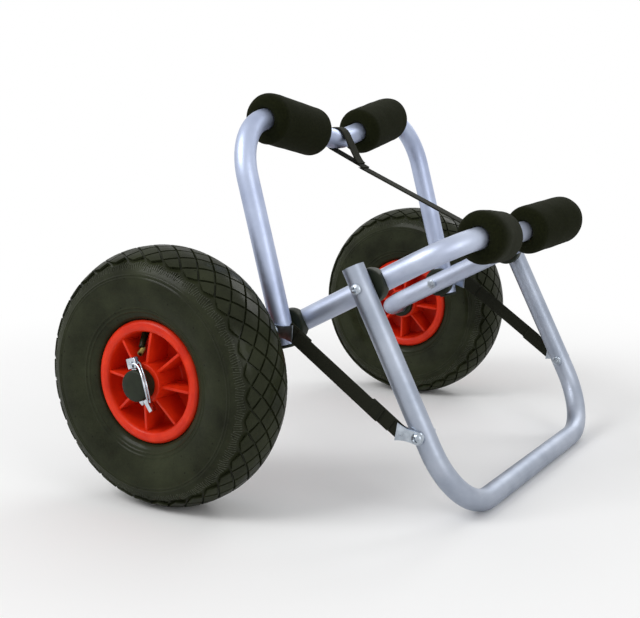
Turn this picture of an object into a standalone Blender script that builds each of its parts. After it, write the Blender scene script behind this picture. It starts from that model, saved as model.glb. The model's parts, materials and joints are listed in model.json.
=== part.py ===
"""Folding two-wheel cart that carries a paddleboard across its padded bars.

Metres, +Z up, +X towards the kickstand's foot, +Y to the left. The ground is z = 0.
Each named object is one physical piece. The three tube frames are POLY curves with a round
bevel, the turned pieces are Screw profiles, and flat pieces are 2D outlines extruded.
"""
import math

import bmesh
import bpy
from mathutils import Matrix, Vector

# Sides of the cart
SIDES = (("left", 1), ("right", -1))

# Wheels, a 3.00-4 pneumatic tyre on a plastic rim
WHEEL_RADIUS = 0.130
WHEEL_STEPS = 32
TYRE_HALF_WIDTH = 0.041
# The tread is a net of diamond blocks; each row of them as (radius, distance from its middle)
BLOCKS_ROUND = 34
TREAD_ROWS = (
    (WHEEL_RADIUS, 0.0), (WHEEL_RADIUS, 0.0104), (0.1270, 0.0204), (0.1208, 0.0298),
    (0.1128, 0.0366))
BLOCK_TOP = 0.87
GROOVE_DEPTH = 0.0012
# Middle of the section, towards which the grooves are sunk
TYRE_CORE_RADIUS = 0.0905
# Outlines of half a tyre as (radius, distance from its middle)
TYRE_WIDEST_RADIUS = 0.1010
TYRE_SIDE = ((0.0860, 0.0402), (0.0705, 0.0350))
TYRE_BEAD_FACE = 0.0296
TYRE_BEAD_FOOT = 0.0160
TYRE_HOLLOW = ((0.0620, 0.0180), (0.0850, 0.0345), (0.1190, 0.0170))
FLANGE_RADIUS = 0.061
FLANGE_FACE = 0.0317
FLANGE_INNER = 0.0250
FLANGE_CHAMFER_RADIUS = 0.0565
FLANGE_CHAMFER_FACE = 0.0289
FLANGE_MOUTH_RADIUS = 0.0508
BEAD_SEAT_RADIUS = 0.0518
BARREL_RADIUS = 0.0460
LIP_RADIUS = 0.0493
WEB_HALF = 0.0025
HUB_RADIUS = 0.0200
HUB_HALF = 0.0363
RIB_COUNT = 8
RIB_THICKNESS = 0.0034
RIB_HUB_HALF = 0.0332
RIB_LIP_HALF = 0.0283
RIB_IN_HUB = 0.0040
RIB_IN_BARREL = 0.0015
HUB_FILLET = 0.0010
RIB_PHASE = math.radians(-5.5)

# Clearances
GAP = 0.0003
MERGE = 0.00001
RUNNING_GAP = 0.0005
# Holes wider than this radius get twice the sides
WIDE_HOLE = 0.005

# Tubes
TUBE_RADIUS = 0.0111
TUBE_WALL = 0.0015
TUBE_RINGS = 6
ARC_STEPS = 7
ELBOW_RADIUS = 0.055
DIP_RADIUS = 0.100
END_BORE_DEPTH = 0.014
CAP_RIM = 0.0033
CAP_RIM_EDGE = (0.0012, 0.0008)
PLUG_SUNK = 0.0005
PLUG_LENGTH = 0.0115

# Wheel frame: legs rise from the axle to the front bar
FRAME_TILT = math.radians(27.5)
FRAME_HALF = 0.167
FRAME_LENGTH = 0.309
FRAME_CORNER = 0.052
FRAME_DIP = 0.0355

# Outer frames sit outside the wheel frame's legs, and the tyres clear them
LEG_OFFSET = 0.028
TYRE_TO_LEG = 0.038

# Back frame: pivots on the wheel frame and leans back
BACK_PIVOT = 0.095
BACK_ANGLE = math.radians(104.8)
BACK_LENGTH = 0.2266
BACK_BELOW = 0.017
BACK_CORNER = 0.060
BACK_DIP = 0.037

# Kickstand: pivots near the front bar and reaches the ground
STAND_PIVOT = 0.198
STAND_ANGLE = math.radians(-63.3)
STAND_ABOVE = 0.022
STAND_CORNER = 0.070
# Turn of the stand tube's ring that puts one flat of it on the ground
STAND_TILT = math.radians(63.3 - 56.25)

# Foam pads on both bars
PAD_RADIUS = 0.0266
PAD_EDGE = 0.010
PAD_STEPS = 20
BACK_PAD_LENGTH = 0.097
BACK_PAD_FROM_CORNER = 0.1020
FRONT_PAD_LENGTH = 0.090
FRONT_PAD_FROM_CORNER = 0.0907

# Spacers between the inner and outer legs
SPACER_RADIUS = 0.0175
SPACER_LIP = 0.004
SPACER_STEPS = 20

# Bolts and nuts
BOLT_RADIUS = 0.0030
BOLT_HOLE_RADIUS = 0.0034
BOLT_HEAD_RADIUS = 0.0056
BOLT_HEAD_HEIGHT = 0.0035
# The head's dome, as shares of its radius and height
BOLT_DOME = ((0.43, 0.93), (0.77, 0.66), (1.0, 0.15))
NUT_RADIUS = 0.0058
NUT_HEIGHT = 0.005
BOLT_TIP = 0.002

# Axle cap, inner collar and wire lock pin
CAP_RADIUS = 0.0155
CAP_FACE = 0.0505
CAP_ROUND = 0.0025
CAP_ROUND_DEPTH = 0.0018
AXLE_FACE = 0.0485
COLLAR_RADIUS = 0.0170
COLLAR_WIDTH = 0.0065
SMALL_CHAMFER = 0.0010
PIN_OFFSET = 0.0430
PIN_RADIUS = 0.0030
PIN_TIP = 0.0200
PIN_LEAN = math.radians(15.0)
PIN_HEAD_BASE = 0.0162
PIN_HEAD_TOP = 0.0270
PIN_HEAD_WIDTH = 0.011
PIN_HEAD_DEPTH = 0.0072
PIN_HEAD_BEVEL = 0.0012
PIN_IN_HEAD = 0.0020
PIN_POINT = (0.0012, 0.0015)
BAIL_RADIUS = 0.0011
BAIL_PIVOT = 0.0220
BAIL_HALF = 0.0050
BAIL_PEG = 0.0024
# The bail's bow from its pivot to its lowest point, as (height up the pin, distance out)
BAIL_BOW = (
    (0.0185, 0.0095), (0.0100, 0.0158), (0.0, 0.0185), (-0.0095, 0.0160), (-0.0175, 0.0090),
    (-0.0222, 0.0))

# Tyre valve
VALVE_ANGLE = math.radians(107.0)
VALVE_FOOT = (0.0540, 0.0085)
VALVE_HEAD = (0.0305, 0.0270)
VALVE_RADIUS = 0.0036
VALVE_TIP_RADIUS = 0.0024
VALVE_CHAMFER = 0.0006
VALVE_TAPER = (0.008, 0.014)
VALVE_HOLE_LENGTH = 0.024

# Side straps between the back pivot bolts and the kickstand
STRAP_ON_STAND = 0.1509
WEB_WIDTH = 0.016
WEB_THICKNESS = 0.0014
BRACKET_THICKNESS = 0.0044
BRACKET_REACH = 0.0225
BRACKET_HALF = 0.0100
BRACKET_SLOT = 0.0020
BRACKET_LOBE = 0.0072
# Points on the flared sides, as shares of the reach and of the half width
BRACKET_FLARE = ((0.80, 0.88), (0.55, 0.72))
FORK_START = 0.0110
UPPER_BRACKET_ANGLE = math.radians(-4.0)
LOWER_BRACKET_ANGLE = math.radians(170.0)
# The web meets the lower bracket's wide edge a little above its middle
LOWER_EDGE_OFFSET = 0.002
UPPER_KNEE_ANGLE = math.radians(-13.5)
UPPER_KNEE_DISTANCE = 0.0337
LOWER_KNEE_FROM_EDGE = 0.0273
# Length of each webbing tab from its knee, and the part of it outside its bracket
UPPER_TAB = 0.0200
UPPER_TAB_OUTSIDE = 0.0070
LOWER_TAB = 0.0330
LOWER_TAB_OUTSIDE = 0.0215

# Top strap between the two bars
TOP_WEB_THICKNESS = 0.0016
TOP_FRONT_KNEE = 0.04465
TOP_REAR_KNEE = 0.04389
TOP_LAP = 0.0035
# The bar bends up by nearly this much within the strap's width
LOOP_SLACK = 0.0005

# Colours as sRGB hex
ALUMINIUM = "b4bccd"
STEEL = "c9ccd2"
BLACK_PLASTIC = "26282a"
FOAM = "1f211a"
RUBBER = "2c2e28"
RED_PLASTIC = "d3321f"
WEBBING = "1c1f17"
BRASS = "a58c4e"

AXIS_Y = Vector((0.0, 1.0, 0.0))

# Places that follow from the sizes above
OUTER_HALF = FRAME_HALF + LEG_OFFSET
TRACK = 2 * (OUTER_HALF + TYRE_TO_LEG + TYRE_HALF_WIDTH)


def linear(hex_colour):
    """sRGB hex as the linear numbers that a shader takes."""
    values = []
    for start in (0, 2, 4):
        part = int(hex_colour[start:start + 2], 16) / 255.0
        values.append(part / 12.92 if part <= 0.04045 else ((part + 0.055) / 1.055) ** 2.4)
    return (values[0], values[1], values[2], 1.0)


def material(name, hex_colour, roughness, metallic):
    made = bpy.data.materials.new(name)
    made.use_nodes = True
    shader = made.node_tree.nodes["Principled BSDF"]
    shader.inputs["Base Color"].default_value = linear(hex_colour)
    shader.inputs["Roughness"].default_value = roughness
    shader.inputs["Metallic"].default_value = metallic
    return made


def add(name, mesh, collection, surface=None, smooth=True):
    made = bpy.data.objects.new(name, mesh)
    collection.objects.link(made)
    if surface is not None:
        mesh.materials.clear()
        mesh.materials.append(surface)
    for face in mesh.polygons:
        face.use_smooth = smooth
    return made


def on_axis(made, origin):
    """Moves an object's origin to a joint's axis and leaves its shape where it is."""
    made.data.transform(Matrix.Translation(-origin))
    made.location = origin


def flat_frame(origin, angle):
    """Matrix that lays an XY outline upright along the cart, its X at this angle from +X."""
    across = Vector((math.cos(angle), 0.0, math.sin(angle)))
    upward = Vector((-math.sin(angle), 0.0, math.cos(angle)))
    matrix = Matrix((across, upward, -AXIS_Y)).transposed().to_4x4()
    matrix.translation = origin
    return matrix


def along(direction, origin):
    """Matrix that turns +Z to a direction and moves it to an origin."""
    return Matrix.Translation(origin) @ direction.to_track_quat("Z", "Y").to_matrix().to_4x4()


def rounded_path(corners, radii):
    """Points of a line with its inner corners rounded to these radii."""
    points = [corners[0]]
    for before, corner, after, radius in zip(corners, corners[1:], corners[2:], radii):
        back = (before - corner).normalized()
        ahead = (after - corner).normalized()
        angle = back.angle(ahead)
        centre = corner + (back + ahead).normalized() * radius / math.sin(angle / 2)
        start = corner + back * radius / math.tan(angle / 2) - centre
        end = corner + ahead * radius / math.tan(angle / 2) - centre
        turn = start.angle(end)
        steps = max(4, round(ARC_STEPS * turn / math.radians(100)))
        for step in range(steps + 1):
            part = step / steps
            weight_start = math.sin((1 - part) * turn) / math.sin(turn)
            weight_end = math.sin(part * turn) / math.sin(turn)
            points.append(centre + start * weight_start + end * weight_end)
    points.append(corners[-1])
    return points


def curve_mesh(curve_data):
    """Evaluated mesh of a curve, with its caps joined to its sides."""
    holder = bpy.data.objects.new("curve_holder", curve_data)
    bpy.context.scene.collection.objects.link(holder)
    bpy.context.view_layer.update()
    evaluated = holder.evaluated_get(bpy.context.evaluated_depsgraph_get())
    mesh = bpy.data.meshes.new_from_object(evaluated)
    bpy.data.objects.remove(holder)
    shell = bmesh.new()
    shell.from_mesh(mesh)
    bmesh.ops.remove_doubles(shell, verts=shell.verts, dist=MERGE)
    bmesh.ops.recalc_face_normals(shell, faces=shell.faces)
    shell.to_mesh(mesh)
    shell.free()
    return mesh


def round_tube(name, points, radius, rings, tilt=0.0):
    """Round bar along a line of points, closed at both ends."""
    data = bpy.data.curves.new(name, "CURVE")
    data.dimensions = "3D"
    data.bevel_depth = radius
    data.bevel_resolution = rings
    data.use_fill_caps = True
    spline = data.splines.new("POLY")
    spline.points.add(len(points) - 1)
    for control, point in zip(spline.points, points):
        control.co = (point.x, point.y, point.z, 1.0)
        control.tilt = tilt
    return curve_mesh(data)


def slab(name, outline, thickness):
    """Outline in XY, extruded evenly to both sides of it along Z."""
    data = bpy.data.curves.new(name, "CURVE")
    data.dimensions = "2D"
    data.fill_mode = "BOTH"
    data.extrude = thickness / 2
    spline = data.splines.new("POLY")
    spline.points.add(len(outline) - 1)
    for control, point in zip(spline.points, outline):
        control.co = (point[0], point[1], 0.0, 1.0)
    spline.use_cyclic_u = True
    return curve_mesh(data)


def turned(name, profile, steps, collection, surface, closed):
    """Solid turned round Z from a profile of (radius, height) that runs down its outer side."""
    mesh = bpy.data.meshes.new(name)
    points = [(radius, 0.0, height) for radius, height in profile]
    edges = [(index, index + 1) for index in range(len(points) - 1)]
    if closed:
        edges.append((len(points) - 1, 0))
    mesh.from_pydata(points, edges, [])
    made = add(name, mesh, collection, surface)
    screw = made.modifiers.new("turn", "SCREW")
    screw.axis = "Z"
    screw.angle = math.tau
    screw.steps = steps
    screw.render_steps = steps
    screw.use_merge_vertices = True
    screw.merge_threshold = MERGE
    screw.use_smooth_shade = True
    return made


def rods(name, entries, collection):
    """Cutter made of round rods, each given by centre, direction, radius and length."""
    mesh = bpy.data.meshes.new(name)
    shell = bmesh.new()
    for centre, direction, radius, length in entries:
        sides = 24 if radius > WIDE_HOLE else 12
        bmesh.ops.create_cone(
            shell, cap_ends=True, segments=sides, radius1=radius, radius2=radius,
            depth=length, matrix=along(direction, centre))
    shell.to_mesh(mesh)
    shell.free()
    made = add(name, mesh, collection)
    made.hide_render = True
    made.display_type = "WIRE"
    return made


def cutter(name, mesh, collection):
    made = add(name, mesh, collection)
    made.hide_render = True
    made.display_type = "WIRE"
    return made


def combine(made, tool, operation):
    change = made.modifiers.new(operation.lower(), "BOOLEAN")
    change.operation = operation
    change.solver = "EXACT"
    change.object = tool


def arc(centre, radius, start, end, steps):
    """Points on an arc in a plane, both ends included."""
    points = []
    for step in range(steps + 1):
        angle = start + (end - start) * step / steps
        points.append((centre[0] + radius * math.cos(angle), centre[1] + radius * math.sin(angle)))
    return points


def stadium(start, end, width):
    """Strip outline along X whose ends are half circles."""
    half = width / 2
    right = arc((end, 0.0), half, -math.pi / 2, math.pi / 2, 8)
    left = arc((start, 0.0), half, math.pi / 2, 3 * math.pi / 2, 8)
    return right + left


def tab(start, end, width):
    """Strip outline along X, square at its start and round at its end."""
    half = width / 2
    return arc((end, 0.0), half, -math.pi / 2, math.pi / 2, 8) + [(start, half), (start, -half)]


def fishtail(reach, half, lobe):
    """Bracket outline: round at the bolt, flared to a wide straight edge."""
    upper = [(reach, half)] + [(reach * far, half * wide) for far, wide in BRACKET_FLARE]
    lower = [(x, -y) for x, y in reversed(upper)]
    return lower + upper + arc((0.0, 0.0), lobe, math.radians(75), math.radians(285), 8)


def ribbon(name, line, width):
    """Flat strap whose line lies in XZ and whose width runs along Y."""
    data = bpy.data.curves.new(name, "CURVE")
    data.dimensions = "2D"
    data.extrude = width / 2
    spline = data.splines.new("POLY")
    spline.points.add(len(line) - 1)
    for control, point in zip(spline.points, line):
        control.co = (point[0], point[1], 0.0, 1.0)
    mesh = curve_mesh(data)
    mesh.transform(flat_frame(Vector((0.0, 0.0, 0.0)), 0.0))
    return mesh


# Start from nothing
for thing in list(bpy.data.objects):
    bpy.data.objects.remove(thing, do_unlink=True)

parts = bpy.data.collections.new("paddleboard_cart")
cutters = bpy.data.collections.new("cutters")
bpy.context.scene.collection.children.link(parts)
bpy.context.scene.collection.children.link(cutters)

aluminium = material("satin_aluminium", ALUMINIUM, 0.38, 1.0)
steel = material("bright_steel", STEEL, 0.22, 1.0)
black_plastic = material("black_plastic", BLACK_PLASTIC, 0.5, 0.0)
foam = material("black_foam", FOAM, 0.9, 0.0)
rubber = material("tyre_rubber", RUBBER, 0.75, 0.0)
red_plastic = material("red_plastic", RED_PLASTIC, 0.35, 0.0)
webbing = material("black_webbing", WEBBING, 0.85, 0.0)
brass = material("valve_brass", BRASS, 0.4, 1.0)

# The x of the axle puts the middle of the whole cart, tyre to foot, at x = 0
frame_way = Vector((math.cos(FRAME_TILT), 0.0, math.sin(FRAME_TILT)))
back_way = Vector((math.cos(BACK_ANGLE), 0.0, math.sin(BACK_ANGLE)))
stand_way = Vector((math.cos(STAND_ANGLE), 0.0, math.sin(STAND_ANGLE)))
tube_flat = TUBE_RADIUS * math.cos(math.pi / 16)
stand_drop = WHEEL_RADIUS + STAND_PIVOT * frame_way.z - tube_flat
STAND_LENGTH = stand_drop / -stand_way.z
foot_reach = STAND_PIVOT * frame_way.x + STAND_LENGTH * stand_way.x + tube_flat
axle = Vector(((WHEEL_RADIUS - foot_reach) / 2, 0.0, WHEEL_RADIUS))
back_pivot = axle + frame_way * BACK_PIVOT
stand_pivot = axle + frame_way * STAND_PIVOT
strap_anchor = stand_pivot + stand_way * STRAP_ON_STAND


def mirrored(half_points):
    """Adds the other half of a symmetrical line, its middle point given last."""
    other = [Vector((p.x, -p.y, p.z)) for p in reversed(half_points[:-1])]
    return half_points + other


# Wheel frame
leg = AXIS_Y * FRAME_HALF
axle_end = axle + AXIS_Y * (TRACK / 2 + AXLE_FACE)
front_corner = axle + frame_way * FRAME_LENGTH
front_dip = axle + frame_way * (FRAME_LENGTH - FRAME_DIP)
frame_corners = mirrored([axle_end, axle + leg, front_corner + leg, front_dip])
frame_radii = [ELBOW_RADIUS, FRAME_CORNER, DIP_RADIUS, FRAME_CORNER, ELBOW_RADIUS]
frame_path = rounded_path(frame_corners, frame_radii)
frame_tube = add(
    "wheel_frame_tube", round_tube("frame", frame_path, TUBE_RADIUS, TUBE_RINGS),
    parts, aluminium)

# Back frame
outer_leg = AXIS_Y * OUTER_HALF
back_low = back_pivot - back_way * BACK_BELOW
back_corner = back_pivot + back_way * BACK_LENGTH
back_dip = back_pivot + back_way * (BACK_LENGTH - BACK_DIP)
back_corners = mirrored([back_low + outer_leg, back_corner + outer_leg, back_dip])
back_path = rounded_path(back_corners, [BACK_CORNER, DIP_RADIUS, BACK_CORNER])
back_tube = add(
    "back_frame_tube", round_tube("back", back_path, TUBE_RADIUS, TUBE_RINGS),
    parts, aluminium)

# Kickstand
stand_top = stand_pivot - stand_way * STAND_ABOVE
stand_foot = stand_pivot + stand_way * STAND_LENGTH
stand_corners = [
    stand_top + outer_leg, stand_foot + outer_leg,
    stand_foot - outer_leg, stand_top - outer_leg]
stand_path = rounded_path(stand_corners, [STAND_CORNER, STAND_CORNER])
stand_tube = add(
    "kickstand_tube",
    round_tube("stand", stand_path, TUBE_RADIUS, TUBE_RINGS, STAND_TILT), parts, aluminium)

# Holes in the three tubes
pin_way = Vector((-math.sin(PIN_LEAN), 0.0, math.cos(PIN_LEAN)))
pin_side = Vector((math.cos(PIN_LEAN), 0.0, math.sin(PIN_LEAN)))
frame_holes = []
back_holes = []
stand_holes = []
hole_length = TUBE_RADIUS * 4
for side, sign in SIDES:
    inner = AXIS_Y * FRAME_HALF * sign
    outer = AXIS_Y * OUTER_HALF * sign
    pin_centre = axle + AXIS_Y * (TRACK / 2 + PIN_OFFSET) * sign
    frame_holes.append((back_pivot + inner, AXIS_Y, BOLT_HOLE_RADIUS, hole_length))
    frame_holes.append((stand_pivot + inner, AXIS_Y, BOLT_HOLE_RADIUS, hole_length))
    frame_holes.append((pin_centre, pin_way, PIN_RADIUS + GAP, hole_length))
    back_holes.append((back_pivot + outer, AXIS_Y, BOLT_HOLE_RADIUS, hole_length))
    back_holes.append((back_low + outer, back_way, TUBE_RADIUS - TUBE_WALL, END_BORE_DEPTH * 2))
    stand_holes.append((stand_pivot + outer, AXIS_Y, BOLT_HOLE_RADIUS, hole_length))
    stand_holes.append((strap_anchor + outer, AXIS_Y, BOLT_HOLE_RADIUS, hole_length))
    stand_holes.append((stand_top + outer, stand_way, TUBE_RADIUS - TUBE_WALL, END_BORE_DEPTH * 2))
combine(frame_tube, rods("frame_holes", frame_holes, cutters), "DIFFERENCE")
combine(back_tube, rods("back_holes", back_holes, cutters), "DIFFERENCE")
combine(stand_tube, rods("stand_holes", stand_holes, cutters), "DIFFERENCE")
on_axis(back_tube, back_pivot)
on_axis(stand_tube, stand_pivot)

# Foam pads, bored along the bent bars that carry them
fat_radius = TUBE_RADIUS + GAP
frame_core = cutter(
    "front_pad_core", round_tube("core", frame_path, fat_radius, TUBE_RINGS), cutters)
back_core = cutter(
    "back_pad_core", round_tube("core", back_path, fat_radius, TUBE_RINGS), cutters)


def pad(name, dip, corner, from_corner, length, core):
    way = (corner - dip).normalized()
    half = length / 2
    edge = arc((PAD_RADIUS - PAD_EDGE, half - PAD_EDGE), PAD_EDGE, math.pi / 2, 0.0, 3)
    lower = [(radius, -height) for radius, height in reversed(edge)]
    profile = [(0.0, half)] + edge + lower + [(0.0, -half)]
    made = turned(name, profile, PAD_STEPS, parts, foam, False)
    made.matrix_world = along(way, corner - way * from_corner)
    combine(made, core, "DIFFERENCE")
    return made


for side, sign in SIDES:
    front_pad = pad(
        "front_pad_" + side, front_dip, front_corner + AXIS_Y * FRAME_HALF * sign,
        FRONT_PAD_FROM_CORNER, FRONT_PAD_LENGTH, frame_core)
    back_pad = pad(
        "back_pad_" + side, back_dip, back_corner + AXIS_Y * OUTER_HALF * sign,
        BACK_PAD_FROM_CORNER, BACK_PAD_LENGTH, back_core)

# Wheels
block_angle = math.tau / BLOCKS_ROUND


def tread_point(column, row, deep, from_middle=0.0):
    """Point of the tread at this column and row of the net, on its face or in its groove."""
    index = min(int(abs(row)), len(TREAD_ROWS) - 2)
    inner, outer = Vector(TREAD_ROWS[index]), Vector(TREAD_ROWS[index + 1])
    section = inner.lerp(outer, abs(row) - index)
    if deep:
        section += (Vector((TYRE_CORE_RADIUS, 0.0)) - section).normalized() * GROOVE_DEPTH
    radius = section.x / math.cos(from_middle * block_angle)
    angle = column * block_angle
    return Vector((
        radius * math.cos(angle), radius * math.sin(angle), math.copysign(section.y, row)))


def tread_block(shell, column, row):
    """Diamond block whose sloping sides end in the grooves; in the middle row its face is flat."""
    made = bmesh.ops.create_circle(
        shell, cap_ends=True, cap_tris=True, segments=4, radius=1.0)["verts"]
    faces = {face for vert in made for face in vert.link_faces}
    top = {vert for face in faces for vert in face.verts}
    rim = [edge for edge in {edge for face in faces for edge in face.edges}
           if len(edge.link_faces) == 1]
    wall = bmesh.ops.extrude_edge_only(shell, edges=rim)["geom"]
    for item in wall:
        if isinstance(item, bmesh.types.BMVert):
            item.co = tread_point(column + item.co.x / 2, row + item.co.y, True)
    for vert in top:
        lean = vert.co.x / 2 * BLOCK_TOP
        vert.co = tread_point(
            column + lean, row + vert.co.y * BLOCK_TOP, False, lean if row == 0 else 0.0)


def tyre_mesh(name):
    """Tyre whose tread is set block by block and whose sides and hollow are turned."""
    last = len(TREAD_ROWS) - 1
    shell = bmesh.new()
    for number in range(BLOCKS_ROUND):
        for row in range(1 - last, last):
            tread_block(shell, number + (1 - row % 2) / 2, row)
        for row in (-last, last):
            gusset = bmesh.ops.create_circle(
                shell, cap_ends=True, segments=3, radius=1.0)["verts"]
            valley = row - math.copysign(1, row)
            for vert, spot in zip(
                    gusset, ((number, row), (number + 0.5, valley), (number + 1, row))):
                vert.co = tread_point(*spot, True)
    points = [shell.verts.new((radius, 0.0, width)) for radius, width in tyre_profile]
    lines = [shell.edges.new(pair) for pair in zip(points, points[1:])]
    bmesh.ops.spin(
        shell, geom=points + lines, cent=(0, 0, 0), axis=(0, 0, 1), dvec=(0, 0, 0),
        angle=math.tau, steps=BLOCKS_ROUND, use_merge=True)
    bmesh.ops.remove_doubles(shell, verts=shell.verts, dist=MERGE)
    bmesh.ops.recalc_face_normals(shell, faces=shell.faces)
    mesh = bpy.data.meshes.new(name)
    shell.to_mesh(mesh)
    shell.free()
    return mesh


shoulder = tread_point(0, len(TREAD_ROWS) - 1, True)
tyre_half = [
    (shoulder.x, shoulder.z),
    (TYRE_WIDEST_RADIUS, TYRE_HALF_WIDTH),
    *TYRE_SIDE,
    (FLANGE_RADIUS + GAP, TYRE_BEAD_FACE),
    (FLANGE_RADIUS + GAP, FLANGE_INNER - GAP),
    (BEAD_SEAT_RADIUS + GAP, FLANGE_INNER - GAP),
    (BEAD_SEAT_RADIUS + GAP, TYRE_BEAD_FOOT),
    *TYRE_HOLLOW,
]
tyre_profile = tyre_half + [(radius, -width) for radius, width in reversed(tyre_half)]
rim_half = [
    (FLANGE_CHAMFER_RADIUS, FLANGE_FACE),
    (FLANGE_RADIUS, FLANGE_CHAMFER_FACE),
    (FLANGE_RADIUS, FLANGE_INNER),
    (BEAD_SEAT_RADIUS, FLANGE_INNER),
]
inner_half = [
    (FLANGE_MOUTH_RADIUS, FLANGE_FACE - GAP),
    (LIP_RADIUS, RIB_LIP_HALF),
    (BARREL_RADIUS, WEB_HALF),
    (HUB_RADIUS + HUB_FILLET, WEB_HALF),
    (HUB_RADIUS, HUB_HALF),
    (TUBE_RADIUS + RUNNING_GAP, HUB_HALF),
]
rim_profile = (
    rim_half + [(radius, -width) for radius, width in reversed(rim_half)]
    + [(radius, -width) for radius, width in inner_half] + list(reversed(inner_half)))


def rib_mesh(shell, angle):
    """One rib of the rim, a thin wall from the hub to the barrel through the web."""
    inside = HUB_RADIUS - RIB_IN_HUB
    outside = BEAD_SEAT_RADIUS - RIB_IN_BARREL
    made = bmesh.ops.create_cube(shell, size=1.0)["verts"]
    for vert in made:
        outer_end = vert.co.x > 0
        half = RIB_LIP_HALF if outer_end else RIB_HUB_HALF
        vert.co.x = outside if outer_end else inside
        vert.co.y = vert.co.y * RIB_THICKNESS
        vert.co.z = math.copysign(half, vert.co.z)
    bmesh.ops.rotate(shell, verts=made, cent=(0, 0, 0), matrix=Matrix.Rotation(angle, 3, "Z"))


for side, sign in SIDES:
    centre = axle + AXIS_Y * (TRACK / 2) * sign
    to_side = Matrix.Translation(centre) @ Matrix.Rotation(-sign * math.pi / 2, 4, "X")
    half_step = Matrix.Rotation(math.pi / WHEEL_STEPS, 4, "Z")

    tyre = add("tyre_" + side, tyre_mesh("tyre_" + side), parts, rubber)
    tyre.matrix_world = to_side
    rim = turned("rim_" + side, rim_profile, WHEEL_STEPS, parts, red_plastic, True)
    rim.matrix_world = to_side @ half_step

    rib_data = bpy.data.meshes.new("ribs")
    shell = bmesh.new()
    for number in range(RIB_COUNT):
        clock = math.pi / 2 + RIB_PHASE + number * math.tau / RIB_COUNT
        rib_mesh(shell, -clock * sign - math.pi / WHEEL_STEPS)
    shell.to_mesh(rib_data)
    shell.free()
    ribs = cutter("rim_ribs_" + side, rib_data, cutters)
    ribs.matrix_world = rim.matrix_world
    combine(rim, ribs, "UNION")

    radial = Vector((math.cos(VALVE_ANGLE), 0.0, math.sin(VALVE_ANGLE)))
    valve_foot = centre + radial * VALVE_FOOT[0] + AXIS_Y * VALVE_FOOT[1] * sign
    valve_head = centre + radial * VALVE_HEAD[0] + AXIS_Y * VALVE_HEAD[1] * sign
    valve_way = (valve_head - valve_foot).normalized()
    valve_length = (valve_head - valve_foot).length
    valve_hole = rods(
        "valve_hole_" + side,
        [(valve_foot, valve_way, VALVE_RADIUS + GAP, VALVE_HOLE_LENGTH)], cutters)
    combine(rim, valve_hole, "DIFFERENCE")
    valve = turned(
        "valve_" + side,
        [(0.0, valve_length), (VALVE_TIP_RADIUS - VALVE_CHAMFER, valve_length),
         (VALVE_TIP_RADIUS, valve_length - VALVE_CHAMFER),
         (VALVE_TIP_RADIUS, valve_length - VALVE_TAPER[0]),
         (VALVE_RADIUS, valve_length - VALVE_TAPER[1]), (VALVE_RADIUS, 0.0), (0.0, 0.0)],
        12, parts, brass, False)
    valve.matrix_world = along(valve_way, valve_foot)

    collar = turned(
        "axle_collar_" + side,
        [(COLLAR_RADIUS - SMALL_CHAMFER, 0.0), (COLLAR_RADIUS, -SMALL_CHAMFER),
         (COLLAR_RADIUS, -COLLAR_WIDTH), (TUBE_RADIUS + GAP, -COLLAR_WIDTH),
         (TUBE_RADIUS + GAP, 0.0)],
        24, parts, black_plastic, True)
    collar.matrix_world = to_side @ Matrix.Translation((0.0, 0.0, -HUB_HALF - GAP))

    cap = turned(
        "axle_cap_" + side,
        [(0.0, CAP_FACE), (CAP_RADIUS - CAP_ROUND, CAP_FACE),
         (CAP_RADIUS, CAP_FACE - CAP_ROUND_DEPTH),
         (CAP_RADIUS, HUB_HALF + GAP), (TUBE_RADIUS + GAP, HUB_HALF + GAP),
         (TUBE_RADIUS + GAP, AXLE_FACE + GAP), (0.0, AXLE_FACE + GAP)],
        24, parts, black_plastic, False)
    cap.matrix_world = to_side
    pin_centre = centre + AXIS_Y * PIN_OFFSET * sign
    cap_hole = rods(
        "cap_hole_" + side, [(pin_centre, pin_way, PIN_RADIUS + GAP, CAP_RADIUS * 3)], cutters)
    combine(cap, cap_hole, "DIFFERENCE")

    pin = turned(
        "lock_pin_" + side,
        [(0.0, PIN_HEAD_BASE + PIN_IN_HEAD), (PIN_RADIUS, PIN_HEAD_BASE + PIN_IN_HEAD),
         (PIN_RADIUS, PIN_POINT[1] - PIN_TIP), (PIN_RADIUS - PIN_POINT[0], -PIN_TIP),
         (0.0, -PIN_TIP)],
        16, parts, steel, False)
    pin_frame = Matrix((pin_side, AXIS_Y, pin_way)).transposed().to_4x4()
    pin_frame.translation = pin_centre
    pin.matrix_world = pin_frame
    head_data = bpy.data.meshes.new("pin_head")
    shell = bmesh.new()
    head_height = PIN_HEAD_TOP - PIN_HEAD_BASE
    bmesh.ops.create_cube(shell, size=1.0)
    bmesh.ops.scale(shell, verts=shell.verts, vec=(PIN_HEAD_WIDTH, PIN_HEAD_DEPTH, head_height))
    bmesh.ops.translate(
        shell, verts=shell.verts, vec=(0.0, 0.0, PIN_HEAD_BASE + head_height / 2))
    bmesh.ops.bevel(
        shell, geom=shell.edges, offset=PIN_HEAD_BEVEL, affect="EDGES", segments=2,
        profile=0.5, material=-1)
    shell.to_mesh(head_data)
    shell.free()
    head = cutter("pin_head_" + side, head_data, cutters)
    head.matrix_world = pin_frame
    combine(pin, head, "UNION")
    bail_pivot = pin_centre + pin_way * BAIL_PIVOT
    peg_hole = rods(
        "peg_hole_" + side,
        [(bail_pivot, AXIS_Y, BAIL_RADIUS + GAP, PIN_HEAD_DEPTH * 2)], cutters)
    combine(pin, peg_hole, "DIFFERENCE")

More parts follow.
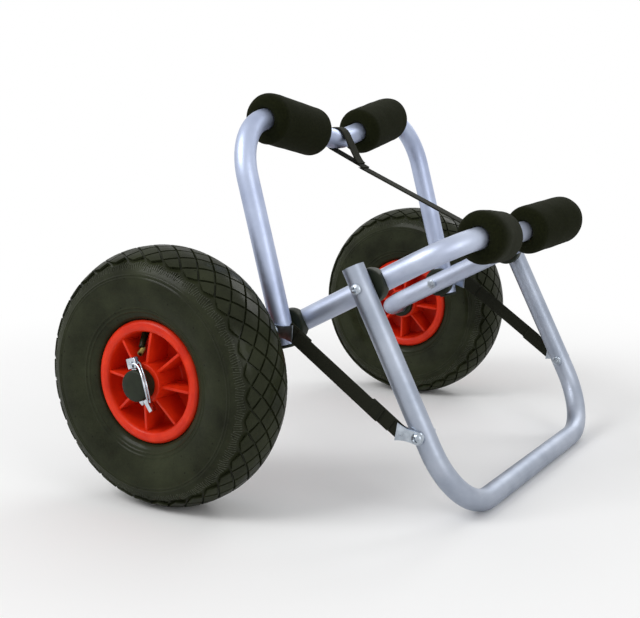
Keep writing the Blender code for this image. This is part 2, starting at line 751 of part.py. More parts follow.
    # Bail: one bent wire from peg to peg, round the cap and under the pin's tip
    strand = [(BAIL_PIVOT, 0.0), *BAIL_BOW]
    wire = [(BAIL_PIVOT, 0.0, BAIL_PEG)]
    wire += [(height, out, BAIL_HALF) for height, out in strand]
    wire += [(height, out, -BAIL_HALF) for height, out in reversed(strand)]
    wire.append((BAIL_PIVOT, 0.0, -BAIL_PEG))
    bail_path = [
        pin_centre + pin_way * height + pin_side * out + AXIS_Y * width
        for height, out, width in wire]
    bail = add(
        "pin_bail_" + side, round_tube("bail", bail_path, BAIL_RADIUS, 2), parts, steel)
    on_axis(bail, bail_pivot)

# Spacers, bolts and nuts at the two leg pivots
bracket_inner = OUTER_HALF + TUBE_RADIUS + GAP
bracket_outer = bracket_inner + BRACKET_THICKNESS


def bolt(name, where, sign, head_base, tip):
    length = head_base - tip
    dome = [(BOLT_HEAD_RADIUS * across, BOLT_HEAD_HEIGHT * up) for across, up in BOLT_DOME]
    made = turned(
        name,
        [(0.0, BOLT_HEAD_HEIGHT), *dome, (BOLT_HEAD_RADIUS, 0.0), (BOLT_RADIUS, 0.0),
         (BOLT_RADIUS, -length), (0.0, -length)],
        12, parts, steel, False)
    made.matrix_world = (
        Matrix.Translation(where + AXIS_Y * head_base * sign)
        @ Matrix.Rotation(-sign * math.pi / 2, 4, "X"))
    return made


def nut(name, where, sign, face):
    """Hexagon nut whose outer face is this far from the middle of the cart."""
    mesh = bpy.data.meshes.new(name)
    shell = bmesh.new()
    bmesh.ops.create_cone(
        shell, cap_ends=True, segments=6, radius1=NUT_RADIUS, radius2=NUT_RADIUS,
        depth=NUT_HEIGHT)
    shell.to_mesh(mesh)
    shell.free()
    made = add(name, mesh, parts, steel, smooth=False)
    made.matrix_world = (
        Matrix.Translation(where + AXIS_Y * (face - NUT_HEIGHT / 2) * sign)
        @ Matrix.Rotation(math.pi / 2, 4, "X"))
    bore = rods(
        name + "_bore",
        [(made.matrix_world.translation, AXIS_Y, BOLT_HOLE_RADIUS, NUT_HEIGHT * 4)],
        cutters)
    combine(made, bore, "DIFFERENCE")
    return made


for side, sign in SIDES:
    inner_face = FRAME_HALF - TUBE_RADIUS - GAP
    stand_inner_face = OUTER_HALF - TUBE_RADIUS - GAP
    spacer_low = FRAME_HALF + SPACER_LIP
    spacer_high = OUTER_HALF - TUBE_RADIUS - GAP
    for place, where in (("back", back_pivot), ("stand", stand_pivot)):
        spacer = turned(
            place + "_spacer_" + side,
            [(0.0, spacer_high), (SPACER_RADIUS - SMALL_CHAMFER, spacer_high),
             (SPACER_RADIUS, spacer_high - SMALL_CHAMFER), (SPACER_RADIUS, spacer_low),
             (0.0, spacer_low)],
            SPACER_STEPS, parts, black_plastic, False)
        spacer.matrix_world = (
            Matrix.Translation(where) @ Matrix.Rotation(-sign * math.pi / 2, 4, "X"))
        bed = rods(
            place + "_bed_" + side,
            [(where + AXIS_Y * FRAME_HALF * sign, frame_way, fat_radius, SPACER_RADIUS * 4)],
            cutters)
        bore = rods(
            place + "_spacer_bore_" + side,
            [(where + AXIS_Y * spacer_high * sign, AXIS_Y, BOLT_HOLE_RADIUS, LEG_OFFSET * 2)],
            cutters)
        combine(spacer, bed, "DIFFERENCE")
        combine(spacer, bore, "DIFFERENCE")
        nut(place + "_nut_" + side, where, sign, inner_face)
    bolt_tip = inner_face - NUT_HEIGHT - BOLT_TIP
    bolt("back_bolt_" + side, back_pivot, sign, bracket_outer + GAP, bolt_tip)
    bolt("stand_bolt_" + side, stand_pivot, sign, bracket_inner, bolt_tip)
    bolt(
        "strap_bolt_" + side, strap_anchor, sign, bracket_outer + GAP,
        stand_inner_face - NUT_HEIGHT - BOLT_TIP)
    nut("strap_nut_" + side, strap_anchor, sign, stand_inner_face)

# Caps on the open tube ends
for side, sign in SIDES:
    plug_radius = TUBE_RADIUS - TUBE_WALL - GAP
    foot_cap = turned(
        "back_foot_cap_" + side,
        [(0.0, PLUG_LENGTH), (plug_radius, PLUG_LENGTH), (plug_radius, -GAP),
         (TUBE_RADIUS, -GAP), (TUBE_RADIUS, CAP_RIM_EDGE[1] - CAP_RIM),
         (TUBE_RADIUS - CAP_RIM_EDGE[0], -CAP_RIM), (0.0, -CAP_RIM)],
        20, parts, black_plastic, False)
    foot_cap.matrix_world = along(back_way, back_low + AXIS_Y * OUTER_HALF * sign)
    stand_plug = turned(
        "stand_plug_" + side,
        [(0.0, -PLUG_SUNK), (plug_radius, -PLUG_SUNK),
         (plug_radius, -PLUG_SUNK - PLUG_LENGTH), (0.0, -PLUG_SUNK - PLUG_LENGTH)],
        20, parts, black_plastic, False)
    stand_plug.matrix_world = along(-stand_way, stand_top + AXIS_Y * OUTER_HALF * sign)

# Side straps: a forked bracket and a webbing tab at each bolt, one long web between the tabs
def on_side(angle):
    """Direction in the plane of the cart's side, at this angle up from +X."""
    return Vector((math.cos(angle), 0.0, math.sin(angle)))


upper_knee = back_pivot + on_side(UPPER_KNEE_ANGLE) * UPPER_KNEE_DISTANCE
lower_edge = (
    strap_anchor + on_side(LOWER_BRACKET_ANGLE) * BRACKET_REACH
    + on_side(LOWER_BRACKET_ANGLE - math.pi / 2) * LOWER_EDGE_OFFSET)
strap_way = (lower_edge - upper_knee).normalized()
strap_angle = math.atan2(strap_way.z, strap_way.x)
lower_knee = lower_edge - strap_way * LOWER_KNEE_FROM_EDGE
tab_inner = bracket_inner + (BRACKET_THICKNESS - WEB_THICKNESS) / 2
web_inner = bracket_outer + GAP


def block(name, size, centre, matrix):
    """Box cutter of this size, centred here in the frame of the piece that it cuts."""
    mesh = bpy.data.meshes.new(name)
    shell = bmesh.new()
    bmesh.ops.create_cube(shell, size=1.0)
    bmesh.ops.scale(shell, verts=shell.verts, vec=size)
    bmesh.ops.translate(shell, verts=shell.verts, vec=centre)
    shell.to_mesh(mesh)
    shell.free()
    made = cutter(name, mesh, cutters)
    made.matrix_world = matrix
    return made


def strap_end(label, hinge, angle, knee, knee_angle, tab_length, outside, sign):
    """Bracket on its bolt, and the webbing tab held in its fork."""
    middle = bracket_inner + BRACKET_THICKNESS / 2
    bracket = add(
        "strap_bracket_" + label,
        slab("bracket", fishtail(BRACKET_REACH, BRACKET_HALF, BRACKET_LOBE), BRACKET_THICKNESS),
        parts, steel, smooth=False)
    bracket.matrix_world = flat_frame(hinge + AXIS_Y * middle * sign, angle)
    fork = block(
        "fork_" + label, (BRACKET_REACH, BRACKET_HALF * 4, BRACKET_SLOT),
        (FORK_START + BRACKET_REACH / 2, 0.0, 0.0), bracket.matrix_world)
    combine(bracket, fork, "DIFFERENCE")
    bore = rods(
        "bracket_bore_" + label,
        [(hinge + AXIS_Y * middle * sign, AXIS_Y, BOLT_HOLE_RADIUS, BRACKET_THICKNESS * 4)],
        cutters)
    combine(bracket, bore, "DIFFERENCE")

    doubled = bracket_outer - tab_inner
    web = add(
        "strap_tab_" + label, slab("tab", tab(-tab_length, 0.0, WEB_WIDTH), doubled),
        parts, webbing, smooth=False)
    web.matrix_world = flat_frame(
        knee + AXIS_Y * (tab_inner + doubled / 2) * sign, knee_angle)
    step = block(
        "tab_step_" + label, (tab_length, WEB_WIDTH * 2, doubled),
        (-outside - tab_length / 2, 0.0, -sign * WEB_THICKNESS), web.matrix_world)
    combine(web, step, "DIFFERENCE")


for side, sign in SIDES:
    strap_end(
        "upper_" + side, back_pivot, UPPER_BRACKET_ANGLE, upper_knee, strap_angle,
        UPPER_TAB, UPPER_TAB_OUTSIDE, sign)
    strap_end(
        "lower_" + side, strap_anchor, LOWER_BRACKET_ANGLE, lower_knee,
        strap_angle + math.pi, LOWER_TAB, LOWER_TAB_OUTSIDE, sign)
    mid_web = add(
        "strap_web_" + side,
        slab("web", stadium(0.0, (lower_knee - upper_knee).length, WEB_WIDTH), WEB_THICKNESS),
        parts, webbing, smooth=False)
    mid_web.matrix_world = flat_frame(
        upper_knee + AXIS_Y * (web_inner + WEB_THICKNESS / 2) * sign, strap_angle)

# Top strap: a loop on each bar, and a web that runs from inside the front loop's tail
# to under the rear loop's tail
def bar_middle(dip, way, half, depth):
    """Middle of a bar's rounded dip, which is a little above the sharp corner of its line."""
    return dip + way * DIP_RADIUS * (math.hypot(half, depth) / half - 1)


front_bar = bar_middle(front_dip, frame_way, FRAME_HALF, FRAME_DIP)
back_bar = bar_middle(back_dip, back_way, OUTER_HALF, BACK_DIP)
top_way = (back_bar - front_bar).normalized()
below = Vector((top_way.z, 0.0, -top_way.x))
if below.z > 0:
    below = -below
loop_radius = TUBE_RADIUS + GAP + LOOP_SLACK + TOP_WEB_THICKNESS / 2
front_anchor = front_bar + below * loop_radius
rear_anchor = back_bar + below * loop_radius


top_layer = below * (TOP_WEB_THICKNESS + GAP)


def strap_loop(name, centre, anchor, away, knee_distance):
    """Strap end that runs from under its knee, round the bar, and back down onto itself."""
    start = anchor + away * (knee_distance + TOP_LAP)
    under = math.atan2(below.z, below.x)
    join = anchor + away * (knee_distance - TOP_LAP) - below * (TOP_WEB_THICKNESS + RUNNING_GAP)
    to_join = join - centre
    lean = math.acos(loop_radius / to_join.length)
    turn = 1.0 if away.x < 0 else -1.0
    leave = math.atan2(to_join.z, to_join.x) - turn * lean
    sweep = (leave - under) * turn
    while sweep < 0:
        sweep += math.tau
    line = [(start.x, start.z)]
    line += arc((centre.x, centre.z), loop_radius, under, under + turn * sweep, 14)
    line.append((join.x, join.z))
    made = add(
        name, ribbon(name, line, WEB_WIDTH), parts, webbing, smooth=False)
    on_axis(made, centre)
    thick = made.modifiers.new("thickness", "SOLIDIFY")
    thick.thickness = TOP_WEB_THICKNESS
    thick.offset = 0.0
    return made


strap_loop("top_strap_front", front_bar, front_anchor, top_way, TOP_FRONT_KNEE)
strap_loop("top_strap_rear", back_bar, rear_anchor, -top_way, TOP_REAR_KNEE)
front_knee = front_anchor + top_way * TOP_FRONT_KNEE - top_layer
rear_knee = rear_anchor - top_way * TOP_REAR_KNEE + top_layer
top_mid = add(
    "top_strap_web",
    ribbon("top_web", [(front_knee.x, front_knee.z), (rear_knee.x, rear_knee.z)], WEB_WIDTH),
    parts, webbing, smooth=False)
on_axis(top_mid, front_knee)
top_thick = top_mid.modifiers.new("thickness", "SOLIDIFY")
top_thick.thickness = TOP_WEB_THICKNESS
top_thick.offset = 0.0

print("axle", tuple(round(v, 5) for v in axle))
print("back pivot", tuple(round(v, 5) for v in back_pivot))
print("stand pivot", tuple(round(v, 5) for v in stand_pivot))
print("strap anchor", tuple(round(v, 5) for v in strap_anchor))
print("upper knee", tuple(round(v, 5) for v in upper_knee))
print("front bar", tuple(round(v, 5) for v in front_bar))
print("back bar", tuple(round(v, 5) for v in back_bar))
print("front knee", tuple(round(v, 5) for v in front_knee))
print("lower knee", tuple(round(v, 5) for v in lower_knee))
print("rear knee", tuple(round(v, 5) for v in rear_knee))
print("stand length", round(STAND_LENGTH, 5), "reach", round(foot_reach, 5))
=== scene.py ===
# %% [markdown]
# A folding cart that carries a paddleboard: three bent aluminium tube frames, two air-filled
# wheels, foam sleeves on both bars and webbing straps that stop the frames from opening too far.
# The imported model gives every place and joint. This script dresses it, piece by piece, in the
# order in which a workshop would build it: tubes, wheels, foam, straps, hardware.

import json
import math
import random

import bmesh
import bpy
from mathutils import Matrix, Vector, noise

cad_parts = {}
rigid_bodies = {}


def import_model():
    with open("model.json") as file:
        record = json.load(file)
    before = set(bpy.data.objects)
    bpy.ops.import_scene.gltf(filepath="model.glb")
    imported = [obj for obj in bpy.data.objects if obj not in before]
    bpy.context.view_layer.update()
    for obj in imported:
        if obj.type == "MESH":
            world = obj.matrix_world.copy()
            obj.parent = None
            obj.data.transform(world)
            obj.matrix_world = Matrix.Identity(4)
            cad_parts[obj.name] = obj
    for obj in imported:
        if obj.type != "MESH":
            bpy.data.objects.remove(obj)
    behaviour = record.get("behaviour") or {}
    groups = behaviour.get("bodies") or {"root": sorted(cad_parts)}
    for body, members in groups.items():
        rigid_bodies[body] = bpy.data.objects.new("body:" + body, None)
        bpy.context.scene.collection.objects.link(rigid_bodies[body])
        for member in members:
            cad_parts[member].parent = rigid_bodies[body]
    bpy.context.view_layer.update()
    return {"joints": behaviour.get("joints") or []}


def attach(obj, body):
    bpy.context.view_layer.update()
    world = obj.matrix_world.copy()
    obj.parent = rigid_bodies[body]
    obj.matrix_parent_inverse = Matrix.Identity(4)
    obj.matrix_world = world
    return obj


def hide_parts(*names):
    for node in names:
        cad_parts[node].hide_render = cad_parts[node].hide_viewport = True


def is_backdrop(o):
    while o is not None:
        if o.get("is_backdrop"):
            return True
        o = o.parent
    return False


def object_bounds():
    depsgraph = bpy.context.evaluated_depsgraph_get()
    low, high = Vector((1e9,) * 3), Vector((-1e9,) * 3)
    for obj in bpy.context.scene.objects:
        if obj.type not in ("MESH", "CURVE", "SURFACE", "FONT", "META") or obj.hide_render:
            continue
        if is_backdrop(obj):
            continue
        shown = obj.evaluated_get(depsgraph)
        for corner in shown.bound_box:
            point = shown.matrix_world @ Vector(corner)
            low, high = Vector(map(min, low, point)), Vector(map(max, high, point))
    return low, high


for item in list(bpy.data.objects):
    bpy.data.objects.remove(item)
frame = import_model()

# %% [markdown]
# The joints already say where the axle, both leg pivots and every strap end are. Reading them
# here, instead of typing them again, keeps each dressed piece on the solid that it stands for.
# The model is in metres, with X along the cart, Y across it and Z up.

# %% Places on the cart
SIDES = (("left", 1), ("right", -1))
ACROSS = Vector((0.0, 1.0, 0.0))
UP = Vector((0.0, 0.0, 1.0))
ORIGIN = Vector((0.0, 0.0, 0.0))
BACK_FRAME_TILT, KICKSTAND_TILT = 104.8, -63.3
joint_at = {joint["name"]: Vector(joint["pos_m"]) for joint in frame["joints"]}


def level(name):
    """Place of a joint, moved to the middle plane of the cart."""
    return Vector((joint_at[name].x, 0.0, joint_at[name].z))


def heading(degrees):
    """Direction in the side plane, this many degrees up from +X."""
    return Vector((math.cos(math.radians(degrees)), 0.0, math.sin(math.radians(degrees))))


axle = level("left_wheel_spin")
wheel_half_track = joint_at["left_wheel_spin"].y
back_pivot = level("back_frame_fold")
stand_pivot = level("kickstand_fold")
upper_knee = level("left_strap_middle_bend")
strap_anchor = level("left_strap_lower_turn")
front_bar = level("top_strap_front_turn")
back_bar = level("top_strap_rear_turn")
frame_way = (stand_pivot - axle).normalized()
back_way = heading(BACK_FRAME_TILT)
stand_way = heading(KICKSTAND_TILT)
print("axle", axle, "back pivot", back_pivot, "stand pivot", stand_pivot)

# %% [markdown]
# Every colour below is written as an sRGB hex value, as a paint chart gives it. A shader works in
# linear light, so one function turns hex into linear numbers. A second small function adds a
# node with its settings and links. A third reads nodes from rows, so that a pattern of many
# steps stays a short table: each row names its result, and a later row may use that name.

# %% Colours and nodes
def linear(hex_colour):
    values = []
    for start in (0, 2, 4):
        part = int(hex_colour[start:start + 2], 16) / 255.0
        values.append(part / 12.92 if part <= 0.04045 else ((part + 0.055) / 1.055) ** 2.4)
    return (values[0], values[1], values[2], 1.0)


def add_node(tree, kind, settings, inputs):
    """Adds a node, sets its own settings, and fills or links its inputs by name or number."""
    made = tree.nodes.new("ShaderNode" + kind)
    for name, value in settings.items():
        setattr(made, name, value)
    for key, value in inputs.items():
        if isinstance(value, bpy.types.NodeSocket):
            tree.links.new(value, made.inputs[key])
        else:
            made.inputs[key].default_value = value
    return made


def add_rows(tree, fields, rows):
    """Adds a node for each row: name of its result, kind, settings, inputs, output."""
    for label, kind, settings, inputs, output in rows:
        linked = {key: fields.get(value, value) for key, value in inputs.items()}
        fields[label] = add_node(tree, kind, settings, linked).outputs[output]


# %% [markdown]
# Nearly every surface here varies in the same ways. Its colour drifts between a darker and a
# lighter tone, its roughness wanders a little, and it has relief of one or two sizes. So all the
# materials share one recipe, and each is a few numbers: the noises it uses, as size in
# millimetres, detail and roughness, and what each of them drives. Noise hardly ever leaves the
# span from 0.3 to 0.7, so that span is stretched over the whole range of a colour or roughness.
# A tone that a material works out in rows of its own already has its range.

# %% Recipe for a material
NOISE_SPAN = {"From Min": 0.3, "From Max": 0.7}


def make_material(name, values, noises, tones=None, roughness=None, bumps=(), rows=()):
    """Material whose colour, roughness and relief follow noises or rows of other nodes."""
    made = bpy.data.materials.new(name)
    made.use_nodes = True
    tree = made.node_tree
    sockets = tree.nodes["Principled BSDF"].inputs
    for key, value in values.items():
        sockets[key].default_value = value
    fields = {}
    add_rows(tree, fields, [("place", "TexCoord", {}, {}, "Object")])
    for label, (size_mm, detail, rough) in noises.items():
        scale = {"Scale": 1000.0 / size_mm, "Detail": detail, "Roughness": rough}
        add_rows(tree, fields, [(label, "TexNoise", {}, {"Vector": "place", **scale}, "Fac")])
    add_rows(tree, fields, rows)
    if tones:
        tone, dark, light = tones
        if tone in noises:
            add_rows(tree, fields, [
                ("even", "MapRange", {}, {"Value": tone, **NOISE_SPAN}, "Result")])
            tone = "even"
        ends = {"Factor": fields[tone], "A": linear(dark), "B": linear(light)}
        colour = add_node(tree, "Mix", {"data_type": "RGBA"}, ends)
        tree.links.new(colour.outputs["Result"], sockets["Base Color"])
    if roughness:
        guide, low, high = roughness
        wander = {"Value": fields[guide], "To Min": low, "To Max": high, **NOISE_SPAN}
        change = add_node(tree, "MapRange", {}, wander)
        tree.links.new(change.outputs["Result"], sockets["Roughness"])
    normal = {}
    for label, depth_mm, strength in bumps:
        depth = {"Distance": depth_mm / 1000.0, "Strength": strength}
        bump = add_node(tree, "Bump", {}, {"Height": fields[label], **depth, **normal})
        normal = {"Normal": bump.outputs["Normal"]}
    for socket in normal.values():
        tree.links.new(socket, sockets["Normal"])
    print("material", name, "nodes", len(tree.nodes))
    return made


# %% [markdown]
# The tubes are aluminium, anodised clear after a light blasting. That leaves a bluish grey skin
# with a silky sheen: the highlight is broad and a little cloudy. Metallic is 1 and the roughness
# wanders around 0.48, in faint streaks that are drawn out eightfold across the cart, along its
# bars. The real grain is about a quarter of a millimetre, too fine for the picture, so it is
# drawn at 0.9 mm. The three frames get three tones of one material: the wheel frame's is a
# little paler, and the kickstand's darker copy is painted shade for the kickstand, which lies in
# shade.

# %% Material: clear anodised aluminium
def anodised_aluminium(name, dark, light):
    return make_material(
        name, {"Metallic": 1.0}, {"cloud": (35.0, 4.0, 0.5), "grain": (0.9, 3.0, 0.7)},
        ("cloud", dark, light), ("streak", 0.44, 0.52),
        (("cloud", 0.3, 0.1), ("grain", 0.015, 0.2)),
        (("drawn out", "Mapping", {}, {"Vector": "place", "Scale": (1.0, 0.12, 1.0)}, "Vector"),
         ("streak", "TexNoise", {},
          {"Vector": "drawn out", "Scale": 1000.0 / 3.2, "Detail": 5.0, "Roughness": 0.6},
          "Fac")))


aluminium = anodised_aluminium("anodised_aluminium", "a3adc6", "b4bed5")
pale_aluminium = anodised_aluminium("pale_anodised_aluminium", "acb4c8", "bec6d7")
# The kickstand's darker copy is painted shade
shaded_aluminium = anodised_aluminium("shaded_anodised_aluminium", "949caa", "a9b0bd")

# %% [markdown]
# Bolts, brackets and nuts are mild steel with bright zinc plating. Zinc is slightly warmer and
# duller than chrome, and the plating pools in faint clouds. The wire bails and the pins that
# they hold are chromed steel, so they get the same recipe with a smoother skin.

# %% Materials: zinc-plated steel and chromed steel
def plated_steel(name, dark, light, smooth, dull):
    return make_material(
        name, {"Metallic": 1.0}, {"cloud": (6.0, 4.0, 0.5), "grain": (0.6, 3.0, 0.5)},
        ("cloud", dark, light), ("cloud", smooth, dull), (("grain", 0.04, 0.3),))


zinc = plated_steel("zinc_plated_steel", "9aa3ad", "bfc7d0", 0.26, 0.38)
chrome = plated_steel("chromed_steel", "a9b1ba", "d2d8df", 0.06, 0.16)

# %% [markdown]
# Spacers, caps and collars are injection-moulded black nylon: dark grey rather than black, with
# the fine spark-eroded texture of the mould, which spreads the shine into a soft grey bloom.

# %% Material: moulded black nylon
nylon = make_material(
    "moulded_nylon", {"IOR": 1.53, "Specular IOR Level": 0.2},
    {"spark": (0.5, 2.0, 0.6), "cloud": (9.0, 3.0, 0.5)},
    ("cloud", "12170c", "1f2618"), ("cloud", 0.42, 0.58), (("spark", 0.05, 0.5),))

# %% [markdown]
# The sleeves are closed-cell nitrile foam. Its skin is open where it was cut, a mat of cells about
# half a millimetre wide, and these trap light: the foam is the darkest thing on the cart and has
# no highlight, only a faint dusty sheen at its edges. The cells are drawn at 0.9 mm, twice their
# real size, because smaller ones would vanish in the picture.

# %% Material: closed-cell foam
foam = make_material(
    "nitrile_foam",
    {"IOR": 1.4, "Roughness": 0.95, "Specular IOR Level": 0.10, "Sheen Weight": 0.05,
     "Sheen Roughness": 0.6, "Sheen Tint": linear("8a8c80")},
    {"dents": (14.0, 3.0, 0.5), "dust": (2.2, 5.0, 0.7)},
    ("dust", "0d0f04", "1a1d0b"), None, (("dents", 1.2, 0.35), ("cells", 0.35, 0.6)),
    (("cells", "TexVoronoi", {"feature": "SMOOTH_F1"},
      {"Vector": "place", "Scale": 1000.0 / 0.9, "Smoothness": 0.6}, "Distance"),))

# %% [markdown]
# A tyre is carbon-filled natural rubber, vulcanised in a polished mould. New rubber is a dark
# olive grey under a thin gloss. Its bloom, a waxy dust that sweats out, lies in patches a few
# centimetres wide, and these are both paler and duller. Specks of dust and a few dark spots, on
# average ten millimetres apart, break them up. The fine ribs on the shoulder get a paler
# version, which is painted sheen for the light that their crests catch.

# %% Material: vulcanised tyre rubber
def tyre_rubber(name, dark, light):
    return make_material(
        name, {"IOR": 1.52, "Specular IOR Level": 0.02, "Coat Weight": 0.15,
               "Coat Roughness": 0.17},
        {"bloom": (38.0, 5.0, 0.6), "speck": (1.6, 4.0, 0.7)},
        ("tone", dark, light), ("bloom", 0.34, 0.62),
        (("bloom", 0.8, 0.3), ("speck", 0.12, 0.35)),
        (("broad", "Math", {"operation": "MULTIPLY"}, {0: "bloom", 1: 0.7}, "Value"),
         ("fine", "Math", {"operation": "MULTIPLY"}, {0: "speck", 1: 0.3}, "Value"),
         ("both", "Math", {"operation": "ADD"}, {0: "broad", 1: "fine"}, "Value"),
         ("even", "MapRange", {}, {"Value": "both", **NOISE_SPAN}, "Result"),
         # Dark spots in the colour only, with no hollow in the relief
         ("dark spots", "TexVoronoi", {}, {"Vector": "place", "Scale": 1000.0 / 10.0}, "Distance"),
         ("clear", "MapRange", {}, {"Value": "dark spots", "From Min": 0.06, "From Max": 0.12},
          "Result"),
         ("tone", "Math", {"operation": "MULTIPLY"}, {0: "even", 1: "clear"}, "Value")))


rubber = tyre_rubber("tyre_rubber", "15170c", "313524")
# Paler copy for the shoulder ribs: painted sheen on their crests
rib_sheen_rubber = tyre_rubber("painted_sheen_rubber", "25271d", "53564a")

# %% [markdown]
# The rims are polypropylene, coloured right through and moulded in one shot. The plastic is a
# warm signal red with a soft gloss. The melt leaves slight flow marks, and the surface sinks a
# little opposite each rib, so the highlight is never quite straight.

# %% Material: red polypropylene
red_plastic = make_material(
    "red_polypropylene",
    {"IOR": 1.49, "Specular IOR Level": 0.2, "Coat Weight": 0.05, "Coat Roughness": 0.2},
    {"flow": (16.0, 4.0, 0.5), "grain": (0.7, 2.0, 0.5)},
    ("flow", "c2220a", "d93210"), ("flow", 0.34, 0.46), (("flow", 0.5, 0.25), ("grain", 0.04, 0.3)))

# %% [markdown]
# The straps are polypropylene webbing, woven flat. Ribs of warp, 1.6 mm wide, run along the strap,
# and each is a row of floats 3 mm long that dip under the weft at their ends. Every second rib is
# shifted by half a float. A sine along the strap times a sine across it gives just that. The
# pattern follows each strap because it reads the strap's own UV map, whose numbers are simply
# metres along and across it.

# %% Material: woven webbing
RIB_WIDTH, FLOAT_LENGTH = 0.0016, 0.0030
WEAVE_SUMS = (
    ("ribs", "MULTIPLY", "metres across", 1.0 / RIB_WIDTH),
    ("row", "FLOOR", "ribs", 0.0),
    ("shift", "MULTIPLY", "row", 0.5),
    ("floats", "MULTIPLY", "metres along", 1.0 / FLOAT_LENGTH),
    ("shifted", "ADD", "floats", "shift"),
    ("float angle", "MULTIPLY", "shifted", math.pi),
    ("float wave", "SINE", "float angle", 0.0),
    ("float", "ABSOLUTE", "float wave", 0.0),
    ("float top", "POWER", "float", 0.5),
    ("rib angle", "MULTIPLY", "ribs", math.pi),
    ("rib wave", "SINE", "rib angle", 0.0),
    ("rib", "ABSOLUTE", "rib wave", 0.0),
    ("rib top", "POWER", "rib", 0.5),
    ("weave", "MULTIPLY", "float top", "rib top"),
    # The colour follows the weave: lighter on the crests of floats and ribs and darker in their
    # dips, which is painted light and shade; fuzz adds random tone
    ("weave part", "MULTIPLY", "weave", 0.7),
    ("fuzz part", "MULTIPLY", "fuzz", 0.3),
    ("tone", "ADD", "weave part", "fuzz part"))
weave_rows = [
    ("flat", "TexCoord", {}, {}, "UV"),
    ("metres along", "SeparateXYZ", {}, {"Vector": "flat"}, "X"),
    ("metres across", "SeparateXYZ", {}, {"Vector": "flat"}, "Y")]
for label, step, first, second in WEAVE_SUMS:
    weave_rows.append((label, "Math", {"operation": step}, {0: first, 1: second}, "Value"))
webbing = make_material(
    "black_webbing",
    {"IOR": 1.49, "Specular IOR Level": 0.2, "Sheen Weight": 0.06, "Sheen Roughness": 0.5,
     "Sheen Tint": linear("9a9c90")},
    {"fuzz": (0.8, 4.0, 0.7)}, ("tone", "090a04", "1b1d10"), ("fuzz", 0.75, 0.92),
    (("fuzz", 0.1, 0.3), ("weave", 0.35, 0.7)), weave_rows)

# %% [markdown]
# The valve tip is machined brass. Its yellow is darkened to brown as painted shade, for the shadow
# that the tip sits in, and it is rougher where fingers have been.

# %% Material: machined brass
shaded_brass = make_material(
    "shaded_machined_brass", {"Metallic": 1.0}, {"mottle": (3.0, 4.0, 0.5)},
    # Both tones are darker than lit brass: painted shade
    ("mottle", "63562f", "8c7a48"), ("mottle", 0.26, 0.45))

# %% [markdown]
# Each piece is a mesh whose object sits at the origin, like the solids. One function turns a
# finished bmesh into such a piece: it shades it smooth except at sharp edges, gives it its
# material, sets it on its body and hides the solid that it stands for.

# %% Finish a piece
MERGE_WITHIN = 2e-6


def add_object(name, data):
    """Object in the scene for a mesh, curve, lamp or camera."""
    made = bpy.data.objects.new(name, data)
    bpy.context.scene.collection.objects.link(made)
    return made


def mesh_of(shell, name):
    """Mesh with a bmesh's faces. The bmesh is freed."""
    mesh = bpy.data.meshes.new(name)
    shell.to_mesh(mesh)
    shell.free()
    return mesh


def finish_piece(shell, name, surface, body, solids=(), crease=35.0):
    mesh = mesh_of(shell, name)
    mesh.materials.append(surface)
    mesh.shade_smooth()
    mesh.set_sharp_from_angle(angle=math.radians(crease))
    piece = add_object(name, mesh)
    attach(piece, body)
    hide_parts(*solids)
    print(name, "faces", len(mesh.polygons))
    return piece


def clean(shell):
    """Merges what touches and points every face outwards."""
    bmesh.ops.remove_doubles(shell, verts=shell.verts, dist=MERGE_WITHIN)
    bmesh.ops.recalc_face_normals(shell, faces=shell.faces)


# %% [markdown]
# A tube bender feeds a straight length, then swings the tube round a former. The mesh is made in
# the same way: a ring of points is extruded along each straight, and spun about the bend's
# centre at each corner. The bends therefore stay perfectly round, whatever the angle. At an
# open end the ring is turned in over the wall and back up the bore, so the wall shows.

# %% Directions and rings of points
def axes_at(x_way, y_way, z_way, place):
    """Matrix that turns X, Y and Z to three directions and moves them to a place."""
    turn = Matrix((x_way, y_way, z_way)).transposed().to_4x4()
    turn.translation = place
    return turn


def along(way, place):
    """Matrix that turns +Z to a direction and moves it to a place."""
    return Matrix.Translation(place) @ way.to_track_quat("Z", "Y").to_matrix().to_4x4()


def ring_edges(made):
    """The edges that join these points to each other, and no others."""
    points = set(made)
    return list({edge for point in made for edge in point.link_edges
                 if edge.verts[0] in points and edge.verts[1] in points})


def points_in(geometry):
    return [item for item in geometry if isinstance(item, bmesh.types.BMVert)]


def grow(shell, edges):
    """Extrudes edges on the spot, and gives the new points."""
    return points_in(bmesh.ops.extrude_edge_only(shell, edges=edges)["geom"])


def push(shell, edges, way):
    """Extrudes a ring of edges, moves it, and gives the new ring."""
    made = grow(shell, edges)
    bmesh.ops.translate(shell, verts=made, vec=way)
    return ring_edges(made)


# %% Bend a tube
TUBE_RADIUS = 0.0111
TUBE_WALL = 0.0015
TUBE_SIDES = 32
BEND_STEP = math.radians(6.0)
BORE_DEPTH = 0.014


def turn_in(shell, ring, middle, way):
    """Wall and bore of an open end whose bore runs this way."""
    inner = grow(shell, ring)
    shrink = (TUBE_RADIUS - TUBE_WALL) / TUBE_RADIUS
    bmesh.ops.scale(
        shell, verts=inner, vec=(shrink, shrink, shrink), space=Matrix.Translation(-middle))
    deep = push(shell, ring_edges(inner), way * BORE_DEPTH)
    bmesh.ops.holes_fill(shell, edges=deep, sides=0)


